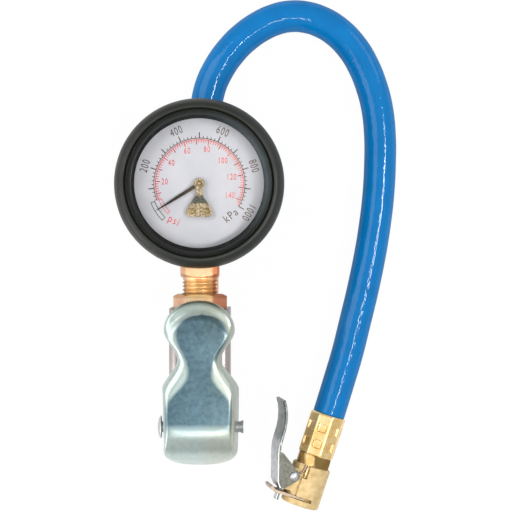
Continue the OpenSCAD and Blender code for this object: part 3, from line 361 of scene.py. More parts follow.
dressed = set()
for material, parts in finish_parts:
    for part in parts.split():
        dressed.add(part)
        holder = nodes[part]
        if holder.material_slots:
            for place in holder.material_slots:
                place.material = material
        else:
            holder.data.materials.append(material)
hose_curve.materials.append(HOSE_BLUE)
print("parts without a finish:", sorted(set(nodes) - dressed))

# %% [markdown]
# Every piece below is made from plain mesh code, in millimetres, straight in its place on the
# tool. Three helpers do the common work: one turns a shape's points and faces into a finished
# piece, one spins an outline round an axis as a lathe does, and one joins rings of points
# into a skin. Frames say where an axis stands: up out of the dial, along the stem, or along
# the chuck, which lies turned and rolled at the end of the hose.

# %% Piece helpers
GAUGE_Y = 73
UP_FRAME = Matrix.Translation((0, GAUGE_Y, 0))
ALONG_Y = Matrix.Rotation(math.radians(-90), 4, "X")
CHUCK_FRAME = (Matrix.Translation(CHUCK_AT) @ Matrix.Rotation(math.radians(CHUCK_TURN), 4, "Z")
               @ Matrix.Rotation(math.radians(CHUCK_ROLL), 4, "Y"))


def put(name, mesh, body, part):
    """Puts a mesh on its body, in place of the part that it replaces."""
    obj = add_object(name, mesh)
    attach(obj, body)
    if part:
        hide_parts(part)
    print(name, "faces:", len(mesh.polygons))
    return obj


def smooth_mesh(mesh, shape, angle):
    """Writes a shape into a mesh and smooths it, up to edges sharper than the angle."""
    shape.to_mesh(mesh)
    shape.free()
    mesh.shade_smooth()
    mesh.set_sharp_from_angle(angle=math.radians(angle))


def piece(name, form, material, part, smooth, frame_at=Matrix.Identity(4),
          body="handpiece"):
    """Makes a mesh piece from points in millimetres, with its faces outwards, and places it."""
    points, faces = form
    mesh = bpy.data.meshes.new(name)
    mesh.from_pydata([tuple((frame_at @ Vector(p)) * MM) for p in points], [], faces)
    shape = bmesh.new()
    shape.from_mesh(mesh)
    bmesh.ops.remove_doubles(shape, verts=shape.verts, dist=1e-7)
    bmesh.ops.recalc_face_normals(shape, faces=shape.faces)
    mesh.materials.append(material)
    smooth_mesh(mesh, shape, smooth)
    return put(name, mesh, body, part)


def soften(obj, width, angle=30):
    """Rounds the sharp edges of a piece, as every pressed or turned edge is."""
    bevel = obj.modifiers.new("edge", "BEVEL")
    bevel.width = width * MM
    bevel.segments = 2
    bevel.limit_method = "ANGLE"
    bevel.angle_limit = math.radians(angle)
    bevel.harden_normals = False


def turned(outline, steps=96, closed=False):
    """Spins (radius, height) points round the Z axis. closed joins the last point to the first."""
    points, faces, rows = [], [], []
    for radius, height in outline:
        if radius < 1e-6:
            rows.append([len(points)])
            points.append((0, 0, height))
            continue
        rows.append(list(range(len(points), len(points) + steps)))
        for k in range(steps):
            a = 2 * math.pi * k / steps
            points.append((radius * math.cos(a), radius * math.sin(a), height))
    pairs = list(zip(rows, rows[1:])) + ([(rows[-1], rows[0])] if closed else [])
    for low, high in pairs:
        for k in range(steps):
            m = (k + 1) % steps
            quad = [low[k % len(low)], low[m % len(low)], high[m % len(high)], high[k % len(high)]]
            faces.append(tuple(dict.fromkeys(quad)))
    return points, [f for f in faces if len(f) > 2]


def skin(rings, closed=False):
    """Joins rings of equal length into a skin, with caps at both ends unless it closes."""
    count = len(rings[0])
    points = [p for ring in rings for p in ring]
    faces = []
    for r in range(len(rings) if closed else len(rings) - 1):
        low, high = r * count, ((r + 1) % len(rings)) * count
        for k in range(count):
            m = (k + 1) % count
            faces.append((low + k, low + m, high + m, high + k))
    if not closed:
        faces.append(tuple(range(count)))
        faces.append(tuple(range((len(rings) - 1) * count, len(rings) * count)))
    return points, faces


def box(low, high):
    """The points and faces of a box between two corners."""
    (lx, ly, lz), (hx, hy, hz) = low, high
    points = [(x, y, z) for z in (lz, hz) for x, y in ((lx, ly), (hx, ly), (hx, hy), (lx, hy))]
    sides = [(k, (k + 1) % 4, (k + 1) % 4 + 4, k + 4) for k in range(4)]
    return points, [(3, 2, 1, 0), (4, 5, 6, 7)] + sides


def mirrored(side):
    """Closes the right half of an outline with its mirror image. It starts on the axis."""
    last = -2 if abs(side[-1][0]) < 1e-9 else -1
    return side + [(-x, y) for x, y in side[last:0:-1]]


def lookup(x, table):
    """The value at x between the rows of a small table."""
    if x <= table[0][0]:
        return table[0][1]
    for (a, va), (b, vb) in zip(table, table[1:]):
        if x <= b:
            return va + (vb - va) * (x - a) / (b - a)
    return table[-1][1]


def smoothstep(x, low=0.0, high=1.0):
    x = min(max((x - low) / (high - low), 0), 1)
    return x * x * (3 - 2 * x)


print("piece helpers ready")

# %% [markdown]
# The trigger lever is one pressing of zinc-plated sheet steel with an hourglass outline. Its
# side walls lean out a little, its shoulder rolls over into a flat face, and its foot bends
# back. A pressing is all smooth change, so the skin is built from two outlines, the rim and
# the face, and a profile that runs from one to the other. The inner skin repeats the same
# rule one sheet thickness further in, which keeps the wall even.

# %% Lever outlines
LEVER_T = 1.2
LEVER_FRONT = 46.0
LEVER_TOP = 30.8
LEVER_FOOT = 27.9
SHOULDER_W = 25.8
FOOT_W = 24.8
WAIST_W = 15.4
LOBE_W = 24.8
SHOULDER_Y, WAIST_Y, LOBE_Y, CORNER_Y = -0.9, 9.7, 20.4, -23.6
FLARE = 1.4
CORNER_POWER = 2 / 2.4
FINE = 3


def between(a, b, t):
    return a + (b - a) * t


def half_outline(foot, corner, shoulder, waist, lobe, lobe_top):
    """Right half of the hourglass, from the bottom centre to the top centre."""
    def shares(count):
        return [k / (count * FINE) for k in range(1, count * FINE + 1)]

    line = []
    for t in [0] + shares(8):
        a = math.pi / 2 * t
        line.append((corner[0] * max(math.sin(a), 0) ** CORNER_POWER,
                     corner[1] - (corner[1] - foot) * max(math.cos(a), 0) ** CORNER_POWER))
    for t in shares(5):
        line.append((between(corner[0], shoulder[0], t), between(corner[1], shoulder[1], t)))
    for t in shares(8):
        line.append((between(shoulder[0], waist[0], 0.5 * t + 2 * t * t - 1.5 * t ** 3),
                     between(shoulder[1], waist[1], t)))
    for t in shares(8):
        line.append((between(waist[0], lobe[0], (1 - math.cos(math.pi * t)) / 2),
                     between(waist[1], lobe[1], t)))
    for t in shares(9):
        a = math.pi / 2 * t
        line.append((lobe[0] * math.cos(a), between(lobe[1], lobe_top, math.sin(a))))
    return line


rim_line = mirrored(half_outline(
    -LEVER_FOOT, (FOOT_W / 2, CORNER_Y), (SHOULDER_W / 2, SHOULDER_Y), (WAIST_W / 2, WAIST_Y),
    (LOBE_W / 2, LOBE_Y), LEVER_TOP))
face_line = mirrored(half_outline(
    -LEVER_FOOT + 12.6, (FOOT_W / 2 - 1.9, -LEVER_FOOT + 15.6),
    (SHOULDER_W / 2 - 2.2, SHOULDER_Y - 4), (WAIST_W / 2 - 3.2, WAIST_Y - 1.7),
    (LOBE_W / 2 - 3.65, LOBE_Y - 2.4), LEVER_TOP - 7.2))
print("lever outline points:", len(rim_line))

# %% Lever skin
LEVER_LAYERS = 14
WALL_SHARE = 0.3  # height and lean of the wall's extra ring, as a share of the wall's own
FACE_INSET = 0.15  # how much of the sheet's thickness the inner face steps in
REAR_EDGE = [(-LEVER_FOOT, 27.5), (-26.3, 27.5), (-21, 19), (-8, 19),
             (SHOULDER_Y + 1.2, LEVER_FRONT - 8), (WAIST_Y, LEVER_FRONT - 6),
             (LOBE_Y, LEVER_FRONT - 4.6), (LEVER_TOP, LEVER_FRONT - 4)]
SHOULDER_DROP = [(-LEVER_FOOT, 14), (-26.5, 9.5), (-24.5, 6.5), (-21, 4.2), (-15, 3),
                 (LEVER_TOP, 3)]
WALL_LEAN = [(-LEVER_FOOT, FLARE), (SHOULDER_Y, FLARE), (WAIST_Y, FLARE / 5), (LOBE_Y, FLARE / 3),
             (LEVER_TOP, FLARE / 7)]


def lean(x, y):
    """How far the wall leans out. The right wall leans most."""
    side = 0.4 + 0.6 * max(smoothstep(x, -5, 5), smoothstep(-y, 21, 26))
    return side * lookup(y, WALL_LEAN)


def inward(line, i):
    ax, ay = line[i - 1]
    bx, by = line[(i + 1) % len(line)]
    size = math.hypot(bx - ax, by - ay)
    return -(by - ay) / size, (bx - ax) / size


def roll(s, lip):
    """Height share of the shoulder at share s of the way from the rim to the face."""
    round_over = math.sin(math.pi / 2 * s)
    stepped = (0.5 * math.sin(math.pi / 2 * min(s / 0.16, 1)) + 0.08 * s
               + 0.42 * smoothstep(s, 0.46, 0.96))
    return between(round_over, stepped, lip)


def lever_skin(inset):
    """Rings from the rear edge up the wall and over the shoulder to the face."""
    rings = [[] for _ in range(LEVER_LAYERS + 3)]
    for i, ((x, y), (u, v)) in enumerate(zip(rim_line, face_line)):
        nx, ny = inward(rim_line, i)
        fx, fy = inward(face_line, i)
        rear, drop = lookup(y, REAR_EDGE), lookup(y, SHOULDER_DROP)
        low = LEVER_FRONT - drop
        for ring, share in ((rings[0], 1), (rings[1], WALL_SHARE)):
            out = inset - share * lean(x, y)
            ring.append((x + out * nx, y + out * ny, between(low, rear, share)))
        lip = smoothstep(y, 17, 27)
        for layer in range(LEVER_LAYERS + 1):
            s = layer / LEVER_LAYERS
            h = between(1 - math.cos(math.pi / 2 * s), s, lip)
            rings[layer + 2].append((
                between(x + inset * nx, u + FACE_INSET * inset * fx, h),
                between(y + inset * ny, v + FACE_INSET * inset * fy, h),
                low + (drop - inset) * roll(s, lip)))
    return rings


rings = list(reversed(lever_skin(LEVER_T))) + lever_skin(0.0)
points, faces = skin(rings)
faces = faces[:-2]
count = len(rim_line)
for base in (0, (len(rings) - 1) * count):
    for k in range(count // 2):
        quad = (base + k, base + k + 1, base + (count - k - 1) % count, base + (count - k) % count)
        faces.append(tuple(dict.fromkeys(quad)))
print("lever rings:", len(rings))

# %% [markdown]
# The zinc is blue grey, and its colour carries a painted reflection: the flat face is painted
# dark blue grey for the dark it mirrors, and the rolled edges round it pale for the light they
# catch. The painted face's outline is a curve of its half width over the height, and it sits a
# little askew. The blend also stays off the foot and off everything that lies lower than the
# face. On top of that, the right side is painted a little darker and warmer, the foot lighter
# and the top darker: painted light and shade.

# %% Lever metal
FACE_Y = (-16.0, 28.0)
FACE_REACH = 16.0  # the curve's full scale in millimetres, from -2 up
FACE_SKEW, FACE_SHIFT = -0.035, 0.3
FACE_FADE = (1.3, 2.9)
FACE_LOW, FACE_TILT = (43.6, 44.8), 0.045
FOOT_FADE = (-17.4, -13.0)
HALF_FACE = [(-16, 11.8), (-5.9, 11.4), (-3.6, 10.0), (-1.3, 8.0), (1.1, 6.0), (3.4, 4.8),
             (5.7, 4.6), (7.6, 4.9), (10.4, 5.9), (12.8, 7.2), (15.1, 8.4), (17.6, 9.2),
             (19.6, 9.3), (21.4, 8.8), (22.8, 7.9), (24.0, 6.6), (24.9, 5.0), (25.5, 3.4),
             (25.9, 0.5), (28, -2)]
metal = Nodes("zinc_lever")
where = metal.place()
x, y, z = metal.axes(where)
broad = metal.noise(1.6, where, 5.0, 0.7)
reach = metal.add("ShaderNodeFloatCurve")
line = reach.mapping.curves[0]
for k, (at, half) in enumerate(HALF_FACE):
    spot = ((at - FACE_Y[0]) / (FACE_Y[1] - FACE_Y[0]), (half + 2) / FACE_REACH)
    if k < 2:
        line.points[k].location = spot
    else:
        line.points.new(*spot)
reach.mapping.update()
metal.feed(reach.inputs["Value"], metal.spread(y, *FACE_Y))
off_centre = metal.math("SUBTRACT", metal.math("MULTIPLY_ADD", y, FACE_SKEW, x), FACE_SHIFT)
inside = metal.math("SUBTRACT", metal.math("MULTIPLY", reach, FACE_REACH),
                    metal.math("ABSOLUTE", off_centre))
high = metal.spread(metal.math("MULTIPLY_ADD", x, FACE_TILT, z), *FACE_LOW)
above_foot = metal.spread(y, *FOOT_FADE)
face_reflection_share = metal.math("MULTIPLY", metal.spread(inside, *FACE_FADE),
                     metal.math("MULTIPLY", high, above_foot))
# Painted reflection: the pale tone on the rolled edges stands for the light they catch, and the
# dark blue grey on the face for the dark it mirrors.
metal.wear(
    Base_Color=metal.mix(face_reflection_share, metal.ramp(broad, 0.3, 0.7, (182, 194, 188), (162, 178, 174)),
                         metal.ramp(broad, 0.3, 0.7, (66, 90, 101), (92, 117, 127))),
    Roughness=metal.spread(broad, 0.3, 0.7, 0.31, 0.36), Metallic=0.85,
    Normal=metal.bump(metal.noise(0.22, where, 2.0), 0.0025))
# Painted light and shade: the right side a little darker and warmer, the foot lighter, the top
# darker.
shade_by(metal.material, 0, [(-12, 1), (-1, 1), (6, (1.0, 0.93, 0.87)), (13, (1.0, 0.93, 0.87))])
shade_by(metal.material, 1, [(-20, (1.12, 1.12, 1.14)), (-16, 1), (26, 1), (27.4, (0.8, 0.8, 0.76)),
                             (30, (0.74, 0.74, 0.69))])
piece("trigger_lever", (points, faces), metal.material, "lever", 50, body="lever")

# %% [markdown]
# The gauge sits in a thick rubber boot. The boot is a turned shape, so its outline is spun
# round the dial's axis, and a square opening is cut where the stem's shank comes through.
# The black bezel ring is a second turned piece that holds the glass.

# %% Boot and bezel
BOOT_D = 61.4
CASE_D = 52.0
BEZEL_D = 54.8
BEZEL_INNER_D = 46.6
BOOT_FRONT = 43.0
BOOT_BACK = 14.3
BOOT_LIP = 4.3  # how far in the boot's outer roll ends
LENS_BACK = 37.0
LENS_H = 2.0
CASE_BACK = 16.9
VENT_R = 10
STEM_Z = 25.5
SHANK_AF = 14.0
SNUG = 0.05
ROUND = 160


def arc(cx, cy, rx, ry, start, stop, steps):
    """Points on an arc, in degrees, of an outline."""
    turns = [math.radians(start + (stop - start) * k / steps) for k in range(steps + 1)]
    return [(cx + rx * math.cos(a), cy + ry * math.sin(a)) for a in turns]


def made_mesh(obj):
    """The mesh that an object's modifiers or its text give."""
    return bpy.data.meshes.new_from_object(obj.evaluated_get(bpy.context.evaluated_depsgraph_get()))


def cut_box(obj, low, high):
    """Cuts a box, given in millimetres, out of a piece."""
    points, faces = box(low, high)
    box_mesh = bpy.data.meshes.new("cutter")
    box_mesh.from_pydata([tuple(v * MM for v in p) for p in points], [], faces)
    cutter = add_object("cutter", box_mesh)
    cut = obj.modifiers.new("opening", "BOOLEAN")
    cut.operation = "DIFFERENCE"
    cut.object = cutter
    made = made_mesh(obj)
    obj.modifiers.clear()
    old, obj.data = obj.data, made
    bpy.data.meshes.remove(old)
    bpy.data.objects.remove(cutter)
    bpy.data.meshes.remove(box_mesh)


r = BOOT_D / 2
lip = BEZEL_D / 2 - 1.5
bezel_seat = BEZEL_D / 2 + 2 * SNUG
case_seat = CASE_D / 2 + 2 * SNUG
boot_outline = (
    [(VENT_R, BOOT_BACK)] + arc(r - 4.4, BOOT_BACK + 4, 4, 4, -90, -12, 8)
    + [(r - 0.4, BOOT_BACK + 6.5), (r - 0.3, BOOT_FRONT - 13)]
    + arc(r - 3.4, BOOT_FRONT - 6.4, 3.4, 6.4, 0, 88, 14)
    + arc(r - 3.3, BOOT_FRONT - 0.45, 0.5, 0.45, 80, 180, 5)[1:] + [(r - 4.05, BOOT_FRONT - 1.15)]
    + arc((r - BOOT_LIP + lip) / 2, BOOT_FRONT - 1.3, (r - BOOT_LIP - lip) / 2, 0.9, 0, 180, 8)
    + [(lip, BOOT_FRONT - 2.2), (bezel_seat, BOOT_FRONT - 2.4), (bezel_seat, LENS_BACK - 3.1),
       (case_seat, LENS_BACK - 3.1), (case_seat, CASE_BACK - SNUG), (VENT_R, CASE_BACK - SNUG)])
boot = piece("boot", turned(boot_outline, ROUND, closed=True), BOOT_RUBBER,
             "gauge_boot", 40, UP_FRAME)
half_shank = SHANK_AF / 2 + 0.2
cut_box(boot, (-half_shank, GAUGE_Y - r - 1, STEM_Z - half_shank),
        (half_shank, GAUGE_Y - r + 9, STEM_Z + half_shank))

flange = LENS_BACK + LENS_H + SNUG
bezel_in = BEZEL_INNER_D / 2
bezel_outline = (
    [(CASE_D / 2 + SNUG, LENS_BACK - 3), (BEZEL_D / 2, LENS_BACK - 3), (BEZEL_D / 2, flange + 1.1)]
    + arc(BEZEL_D / 2 - 0.5, flange + 1.1, 0.5, 0.5, 0, 90, 5)
    + arc(bezel_in + 1.5, flange + 0.7, 0.9, 0.9, 90, 165, 7)
    + [(bezel_in, flange + 0.35), (bezel_in, flange), (CASE_D / 2 + SNUG, flange)])
piece("bezel", turned(bezel_outline, ROUND, closed=True), BEZEL_BLACK,
      "bezel_ring", 40, UP_FRAME)

# %% [markdown]
# The glass is a flat disc with a softly rounded rim. It is real glass with thickness, so both
# of its faces bend and reflect light, and the dial below it stays readable.

# %% Glass
LENS_R = (CASE_D - 0.2) / 2
LENS_EDGE = 0.2
lens_outline = [(0, LENS_BACK), (LENS_R - LENS_EDGE, LENS_BACK), (LENS_R, LENS_BACK + LENS_EDGE),
                (LENS_R, LENS_BACK + LENS_H - LENS_EDGE), (LENS_R - LENS_EDGE, LENS_BACK + LENS_H),
                (0, LENS_BACK + LENS_H)]
piece("gauge_glass", turned(lens_outline, ROUND), GLASS, "gauge_lens", 30, UP_FRAME)

# %% [markdown]
# The dial is a white enamelled disc with a bell-shaped window for the brass bridge. Its marks
# are printed, so they are thin raised shapes. The tick marks are all one shape repeated round
# the centre, which is a job for Geometry Nodes: one tree places any number of ticks, and its
# named inputs say how many, how far apart and how long.

# %% Dial plate
DIAL_FRONT = 34.0
DIAL_T = 0.5
DIAL_R = (CASE_D - 1.6 - 0.4) / 2
PRINT_T = 0.04
PRINT_Z = DIAL_FRONT + PRINT_T / 2
WINDOW_EYE = 2.0
WINDOW_SHARE = 0.93  # width of the window as a share of the bell's
eye = [(WINDOW_EYE * math.cos(math.radians(a)), WINDOW_EYE * math.sin(math.radians(a)))
       for a in range(90, -46, -9)]
bell = eye + [(1.0, -2.8), (1.08, -3.4), (1.2, -4), (1.55, -4.8), (2.0, -5.6), (2.6, -6.4),
              (3.2, -7.2), (3.75, -8), (4.2, -8.8), (4.55, -9.6), (4.8, -10.4),
              (4.75, -11.1 + 0.1 / 3), (4.5, -11.65), (3.5, -12.3)]
half_window = [(x * WINDOW_SHARE, y + 0.3 if y < -11 else y) for x, y in bell]
turns = [math.radians(90 - 180 * k / (len(half_window) - 0.4)) for k in range(len(half_window))]
half_rim = [(DIAL_R * math.cos(a), DIAL_R * math.sin(a)) for a in turns]
faces_at = (DIAL_FRONT - DIAL_T, DIAL_FRONT)
sections = [[(x, y, faces_at[0]), (u, v, faces_at[0]), (u, v, faces_at[1]), (x, y, faces_at[1])]
            for (x, y), (u, v) in zip(mirrored(half_window), mirrored(half_rim))]
piece("dial", skin(sections, closed=True), DIAL_WHITE, "dial_plate", 40,
      UP_FRAME)

# %% Tick tree
def tick_tree():
    """A tree of ticks round the centre, and the names of its inputs' sockets."""
    tree = bpy.data.node_groups.new("dial_ticks", "GeometryNodeTree")
    tree.interface.new_socket("Geometry", in_out="OUTPUT", socket_type="NodeSocketGeometry")
    inputs = {label: tree.interface.new_socket(label, in_out="INPUT",
                                               socket_type="NodeSocket" + kind).identifier
              for label, kind in (("Count", "Int"), ("First", "Float"), ("Step", "Float"),
                                  ("Middle radius", "Float"), ("Size", "Vector"),
                                  ("Material", "Material"))}
    n = Tree(tree)
    given = n.add("NodeGroupInput").outputs
    angle = n.math("MULTIPLY_ADD", n.add("GeometryNodeInputIndex"), given["Step"], given["First"])
    spot = n.add("ShaderNodeCombineXYZ", n.math("SINE", angle), n.math("COSINE", angle))
    scaled = n.add("ShaderNodeVectorMath", spot, operation="SCALE", Scale=given["Middle radius"])
    dots = n.add("GeometryNodePoints", given["Count"], scaled)
    spin = n.add("ShaderNodeCombineXYZ", 0, 0, n.math("MULTIPLY", angle, -1))
    mark = n.add("GeometryNodeMeshCube", given["Size"])
    ring = n.add("GeometryNodeInstanceOnPoints", dots, Instance=mark, Rotation=spin)
    real = n.add("GeometryNodeRealizeInstances", ring)
    paint = n.add("GeometryNodeSetMaterial", real, Material=given["Material"])
    n.add("NodeGroupOutput", paint)
    return tree, inputs


TICKS, TICK_INPUTS = tick_tree()


def printed(name, holder, place, material=None):
    """Prints a holder's mesh. Ticks come in metres and inked, text in millimetres and bare."""
    made = made_mesh(holder)
    bpy.data.objects.remove(holder)
    made.transform(Matrix.Scale(MM, 4) @ place if material else place)
    if material:
        made.materials.clear()
        made.materials.append(material)
    return put(name, made, "handpiece", None)


def ticks(name, count, first, step, inner, outer, width, material):
    """Ticks from a clock angle, a step apart, between two radii."""
    holder = add_object(name + "_holder", bpy.data.meshes.new(name + "_holder"))
    modifier = holder.modifiers.new("ticks", "NODES")
    modifier.node_group = TICKS
    size = (width * MM, (outer - inner) * MM, PRINT_T * MM)
    for label, value in (("Count", count), ("First", math.radians(first)), ("Size", size),
                         ("Step", math.radians(step)), ("Material", material),
                         ("Middle radius", (inner + outer) / 2 * MM)):
        modifier[TICK_INPUTS[label]] = value
    return printed(name, holder, Matrix.Translation(Vector((0, GAUGE_Y, PRINT_Z)) * MM))


ZERO = -120.0
KPA_STEP = 24.0
PSI_STEP = 1.655
ticks("kpa_fine_ticks", 49, ZERO + KPA_STEP * 0.4, KPA_STEP / 5, 16.4, 17.3, 0.26, PRINT_BLACK)
ticks("kpa_main_ticks", 10, ZERO + KPA_STEP, KPA_STEP, 16.4, 18.6, 0.36, PRINT_BLACK)
ticks("psi_fine_ticks", 69, ZERO + PSI_STEP * 6, PSI_STEP * 2, 14.85, 15.9, 0.24, PRINT_RED)
ticks("psi_main_ticks", 14, ZERO + PSI_STEP * 10, PSI_STEP * 10, 14.15, 15.9, 0.34, PRINT_RED)

# %% [markdown]
# The two scale lines are thin arcs, and the little boxes round zero are short bands. They are
# drawn with one helper that makes a flat band between two radii.

# %% Scale lines and zero boxes
BOX_SIDE = 0.8  # in degrees


def band(name, inner, outer, start, stop, material, steps=120):
    """A thin printed band between two radii, from one clock angle to another."""
    rings = []
    for k in range(steps + 1):
        a = math.radians(start + (stop - start) * k / steps)
        rings.append([(r * math.sin(a), r * math.cos(a), DIAL_FRONT + rise) for r, rise in
                      ((inner, 0), (outer, 0), (outer, PRINT_T), (inner, PRINT_T))])
    return piece(name, skin(rings), material, None, 30, UP_FRAME)


band("kpa_line", 16.35, 16.6, -111.7, ZERO + 240, PRINT_BLACK)
band("psi_line", 15.8, 16.08, -112, ZERO + PSI_STEP * 145, PRINT_RED)
number = 0
for inner, outer, start, stop, line, material in ((17.3, 19.0, -134, -112, 0.25, PRINT_BLACK),
                                                  (14.6, 15.9, -133, -112.5, 0.2, PRINT_RED)):
    for edge in ((inner, inner + line, start, stop), (outer - line, outer, start, stop),
                 (inner, outer, start - BOX_SIDE, start), (inner, outer, stop, stop + BOX_SIDE)):
        band(f"zero_box_{number}", *edge, material, 8)
        number += 1
print("zero boxes' edges:", number)

# %% [markdown]
# Numbers and unit marks are text, turned into meshes and laid on the dial. The outer figures
# stand radially and are narrow. The inner ones are upright.

# %% Numbers
CAPITAL = 0.7  # height of a capital as a share of the text's size
NARROW = 0.66


def figure(name, text, height, at, turn, material, narrow=NARROW):
    """A printed word or number of that height, centred at a point of the dial."""
    curve = bpy.data.curves.new(name, "FONT")
    curve.body = text
    curve.size = height / CAPITAL
    curve.align_x, curve.align_y = "CENTER", "CENTER"
    curve.extrude = PRINT_T / 2
    curve.resolution_u = 3
    curve.space_character = 1.2
    place = (Matrix.Translation((at[0], GAUGE_Y + at[1], PRINT_Z))
             @ Matrix.Rotation(math.radians(turn), 4, "Z") @ Matrix.Diagonal((narrow, 1, 1, 1)))
    return printed(name, add_object(name + "_text", curve), place, material)


def on_clock(radius, angle):
    return radius * math.sin(math.radians(angle)), radius * math.cos(math.radians(angle))


for value in (200, 400, 600, 800, 1000):
    clock = ZERO + KPA_STEP * value / 100
    figure(f"kpa_{value}", str(value), 2.9, on_clock(20.6, clock), -clock, PRINT_BLACK)
for value in (20, 40, 60, 80, 100, 120, 140):
    spot = on_clock(12.6 if value < 100 else 11.8, ZERO + PSI_STEP * value)
    figure(f"psi_{value}", str(value), 2.25, spot, 0, PRINT_RED)
figure("unit_psi", "psi", 2.9, (-9.25, -13.3), -27, PRINT_RED, 0.8)
figure("unit_kpa", "kPa", 2.9, (11.3, -11.6), 38, PRINT_BLACK, 0.85)
print("dial printed")

# %% [markdown]
# The stem has three turned brass shapes. The shank is square and its lower end is turned
# down to a cone. Below it is a real thread, one groove that climbs a fixed pitch per turn, so
# the radius depends on both the angle and the height. The bush under it is a hexagon with a
# turned chamfer, which is where the arc on each of its faces comes from. One helper makes any
# bar whose radius is a rule of angle and height.

# %% Bars with a radius rule
def bar(radius, heights, steps, bore=None):
    """Rings whose radius is a rule of (angle, height). With a bore the bar is a tube."""
    turns = [2 * math.pi * k / steps for k in range(steps)]
    rings = [[(radius(a, h) * math.cos(a), radius(a, h) * math.sin(a), h) for a in turns]
             for h in heights]
    rings += [[(r * math.cos(a), r * math.sin(a), h) for a in turns] for h, r in bore or ()]
    return skin(rings, closed=bool(bore))


def polygon_radius(a, across, sides, turn=0.0):
    """Radius of a regular polygon, across its flats, at an angle."""
    part = 2 * math.pi / sides
    a = (a - math.radians(turn)) % part - part / 2
    return across / 2 / math.cos(a)


def spaced(low, high, step):
    count = max(1, round((high - low) / step))
    return [low + (high - low) * k / count for k in range(count + 1)]


BUSH_AF = 17.0
BUSH_H = 5.2
BUSH_SPIGOT = -9.9
SPIGOT_R = 8.28
THREAD_D = 13.16
THREAD_PITCH = 1.337
THREAD_DEPTH = 0.75
BUSH_BORE = THREAD_D / 2 + 0.06
THREAD_TONE = (0.72, 0.66, 0.52)
stem_frame = Matrix.Translation((0, BODY_TOP, STEM_Z)) @ ALONG_Y

STEM_BRASS = finish("stem_brass", (255, 226, 182), (246, 200, 150), 0.6, (0.3, 0.4), 4.0,
                    0.2, 0.005)
# The brass is darker over the thread. It also carries painted shade: darker on its left, and darker
# and redder on its right, where the facets turn from the light.
shade_by(STEM_BRASS, 1, [(31.2, 1), (31.8, THREAD_TONE), (37.8, THREAD_TONE),
                         (38.4, (0.9, 0.84, 0.82))])
shade_by(STEM_BRASS, 0, [(-9, (0.62, 0.53, 0.58)), (-5.3, (0.68, 0.58, 0.62)), (-4.6, 1),
                         (4.2, (1, 1, 0.96)), (5.2, (0.72, 0.4, 0.3)), (9, (0.6, 0.28, 0.2))])


def hexagon(across, height, spigot_r, foot, slope, head):
    """The rule of a hexagon over a round spigot, chamfered at its foot and its head."""
    def radius(a, h):
        chamfer = across / math.sqrt(3) - 2.0 * max(0.0, h - height + head)
        return min(polygon_radius(a, across, 6), chamfer - slope * max(0.0, foot - h))
    return lambda a, h: radius(a, h) if h >= 0 else spigot_r


bush_heights = [BUSH_SPIGOT, -0.01, 0.0, 0.15, 0.3, 1.5, 3, 4.2] + spaced(4.4, BUSH_H, 0.1)
bush_bore = [(BUSH_H, BUSH_BORE + 0.4), (BUSH_H - 0.4, BUSH_BORE), (BUSH_SPIGOT, BUSH_BORE)]
bush_radius = hexagon(BUSH_AF, BUSH_H, SPIGOT_R, 0.3, 1.0, 0.75)
piece("stem_bush", bar(bush_radius, bush_heights, 144, bush_bore), STEM_BRASS,
      "gauge_bush", 28, stem_frame)

# %% Socket
SHANK_LOW = BUSH_H + 6.6
THREAD_LOW = -5.0
RELIEF = 0.35  # depth of the groove between the thread and the shank
SHANK_END = GAUGE_Y - CASE_D / 2 + 2.2 - BODY_TOP


def socket_radius(a, h):
    if h < SHANK_LOW - 0.9:
        wave = (h / THREAD_PITCH - a / (2 * math.pi)) % 1.0
        tooth = min(1.0, abs(wave - 0.5) * 2.5)
        fade = smoothstep(h, SHANK_LOW - 1.8, SHANK_LOW - 0.9)
        return THREAD_D / 2 - THREAD_DEPTH * tooth * (1 - fade) - RELIEF * fade
    square = min(polygon_radius(a, SHANK_AF, 4, 45), SHANK_AF / 2 * 1.37)
    return min(square, THREAD_D / 2 - RELIEF + max(0.0, h - SHANK_LOW + 0.7) * 2.2)


socket_heights = (spaced(THREAD_LOW, SHANK_LOW - 0.9, THREAD_PITCH / 12)
                  + spaced(SHANK_LOW - 0.8, SHANK_LOW + 4.0, 0.16) + [SHANK_END])
piece("stem_socket", bar(socket_radius, socket_heights, 144), STEM_BRASS, None,
      30, stem_frame)
block = piece("socket_block", box((-6.5, SHANK_END + BODY_TOP - 0.5, 19.6), (6.5, 59.2, 27.2)),
              PINK_BRASS, "gauge_socket", 30)
soften(block, 0.3)

# %% [markdown]
# Each end of the hose is squeezed in a crimped ferrule. The press leaves an eight-sided sleeve
# with two rows of square dimples and a slightly rolled mouth. The wall follows a rule here
# too: the octagon less a steep-sided square dip in the middle of each side. The hexagonal tail
# below it is made with the bush's rule.

# %% Ferrules and tails
FERRULE_R = 6.4
TAIL_AF = 12.0
TAIL_BORE = 1.8
BARB_R = 3.13
DIMPLE = 3.1
DIMPLE_DEPTH = 0.55
DIMPLE_SLOPE = 0.36
DIMPLE_ROWS = (4.6, 10.8)
FERRULE_ROUND = FERRULE_R / math.cos(math.radians(22.5)) - 0.12


def dip(off):
    """Share of a dimple's depth, that far from its middle."""
    return smoothstep(DIMPLE / 2 + DIMPLE_SLOPE / 2 - abs(off), 0, DIMPLE_SLOPE)


def ferrule_radius(a, h):
    part = math.pi / 4
    side = (a + part / 2) % part - part / 2
    row = max(dip(h - middle) for middle in DIMPLE_ROWS)
    depth = DIMPLE_DEPTH * dip(FERRULE_R * math.tan(side)) * row
    end_round = 0.45 * max(0.0, 1 - min(h, FERRULE_H - h) / 0.7) ** 2
    return min((FERRULE_R - depth) / math.cos(side), FERRULE_ROUND) - end_round


def fitting(name, part, form, where, foot, turn, material, smooth):
    """A ferrule or tail, stood on an axis and turned on it."""
    spot = (where @ Matrix.Translation((0, foot, 0)) @ ALONG_Y
            @ Matrix.Rotation(math.radians(turn), 4, "Z"))
    return piece(name, form, material, part, smooth, spot)


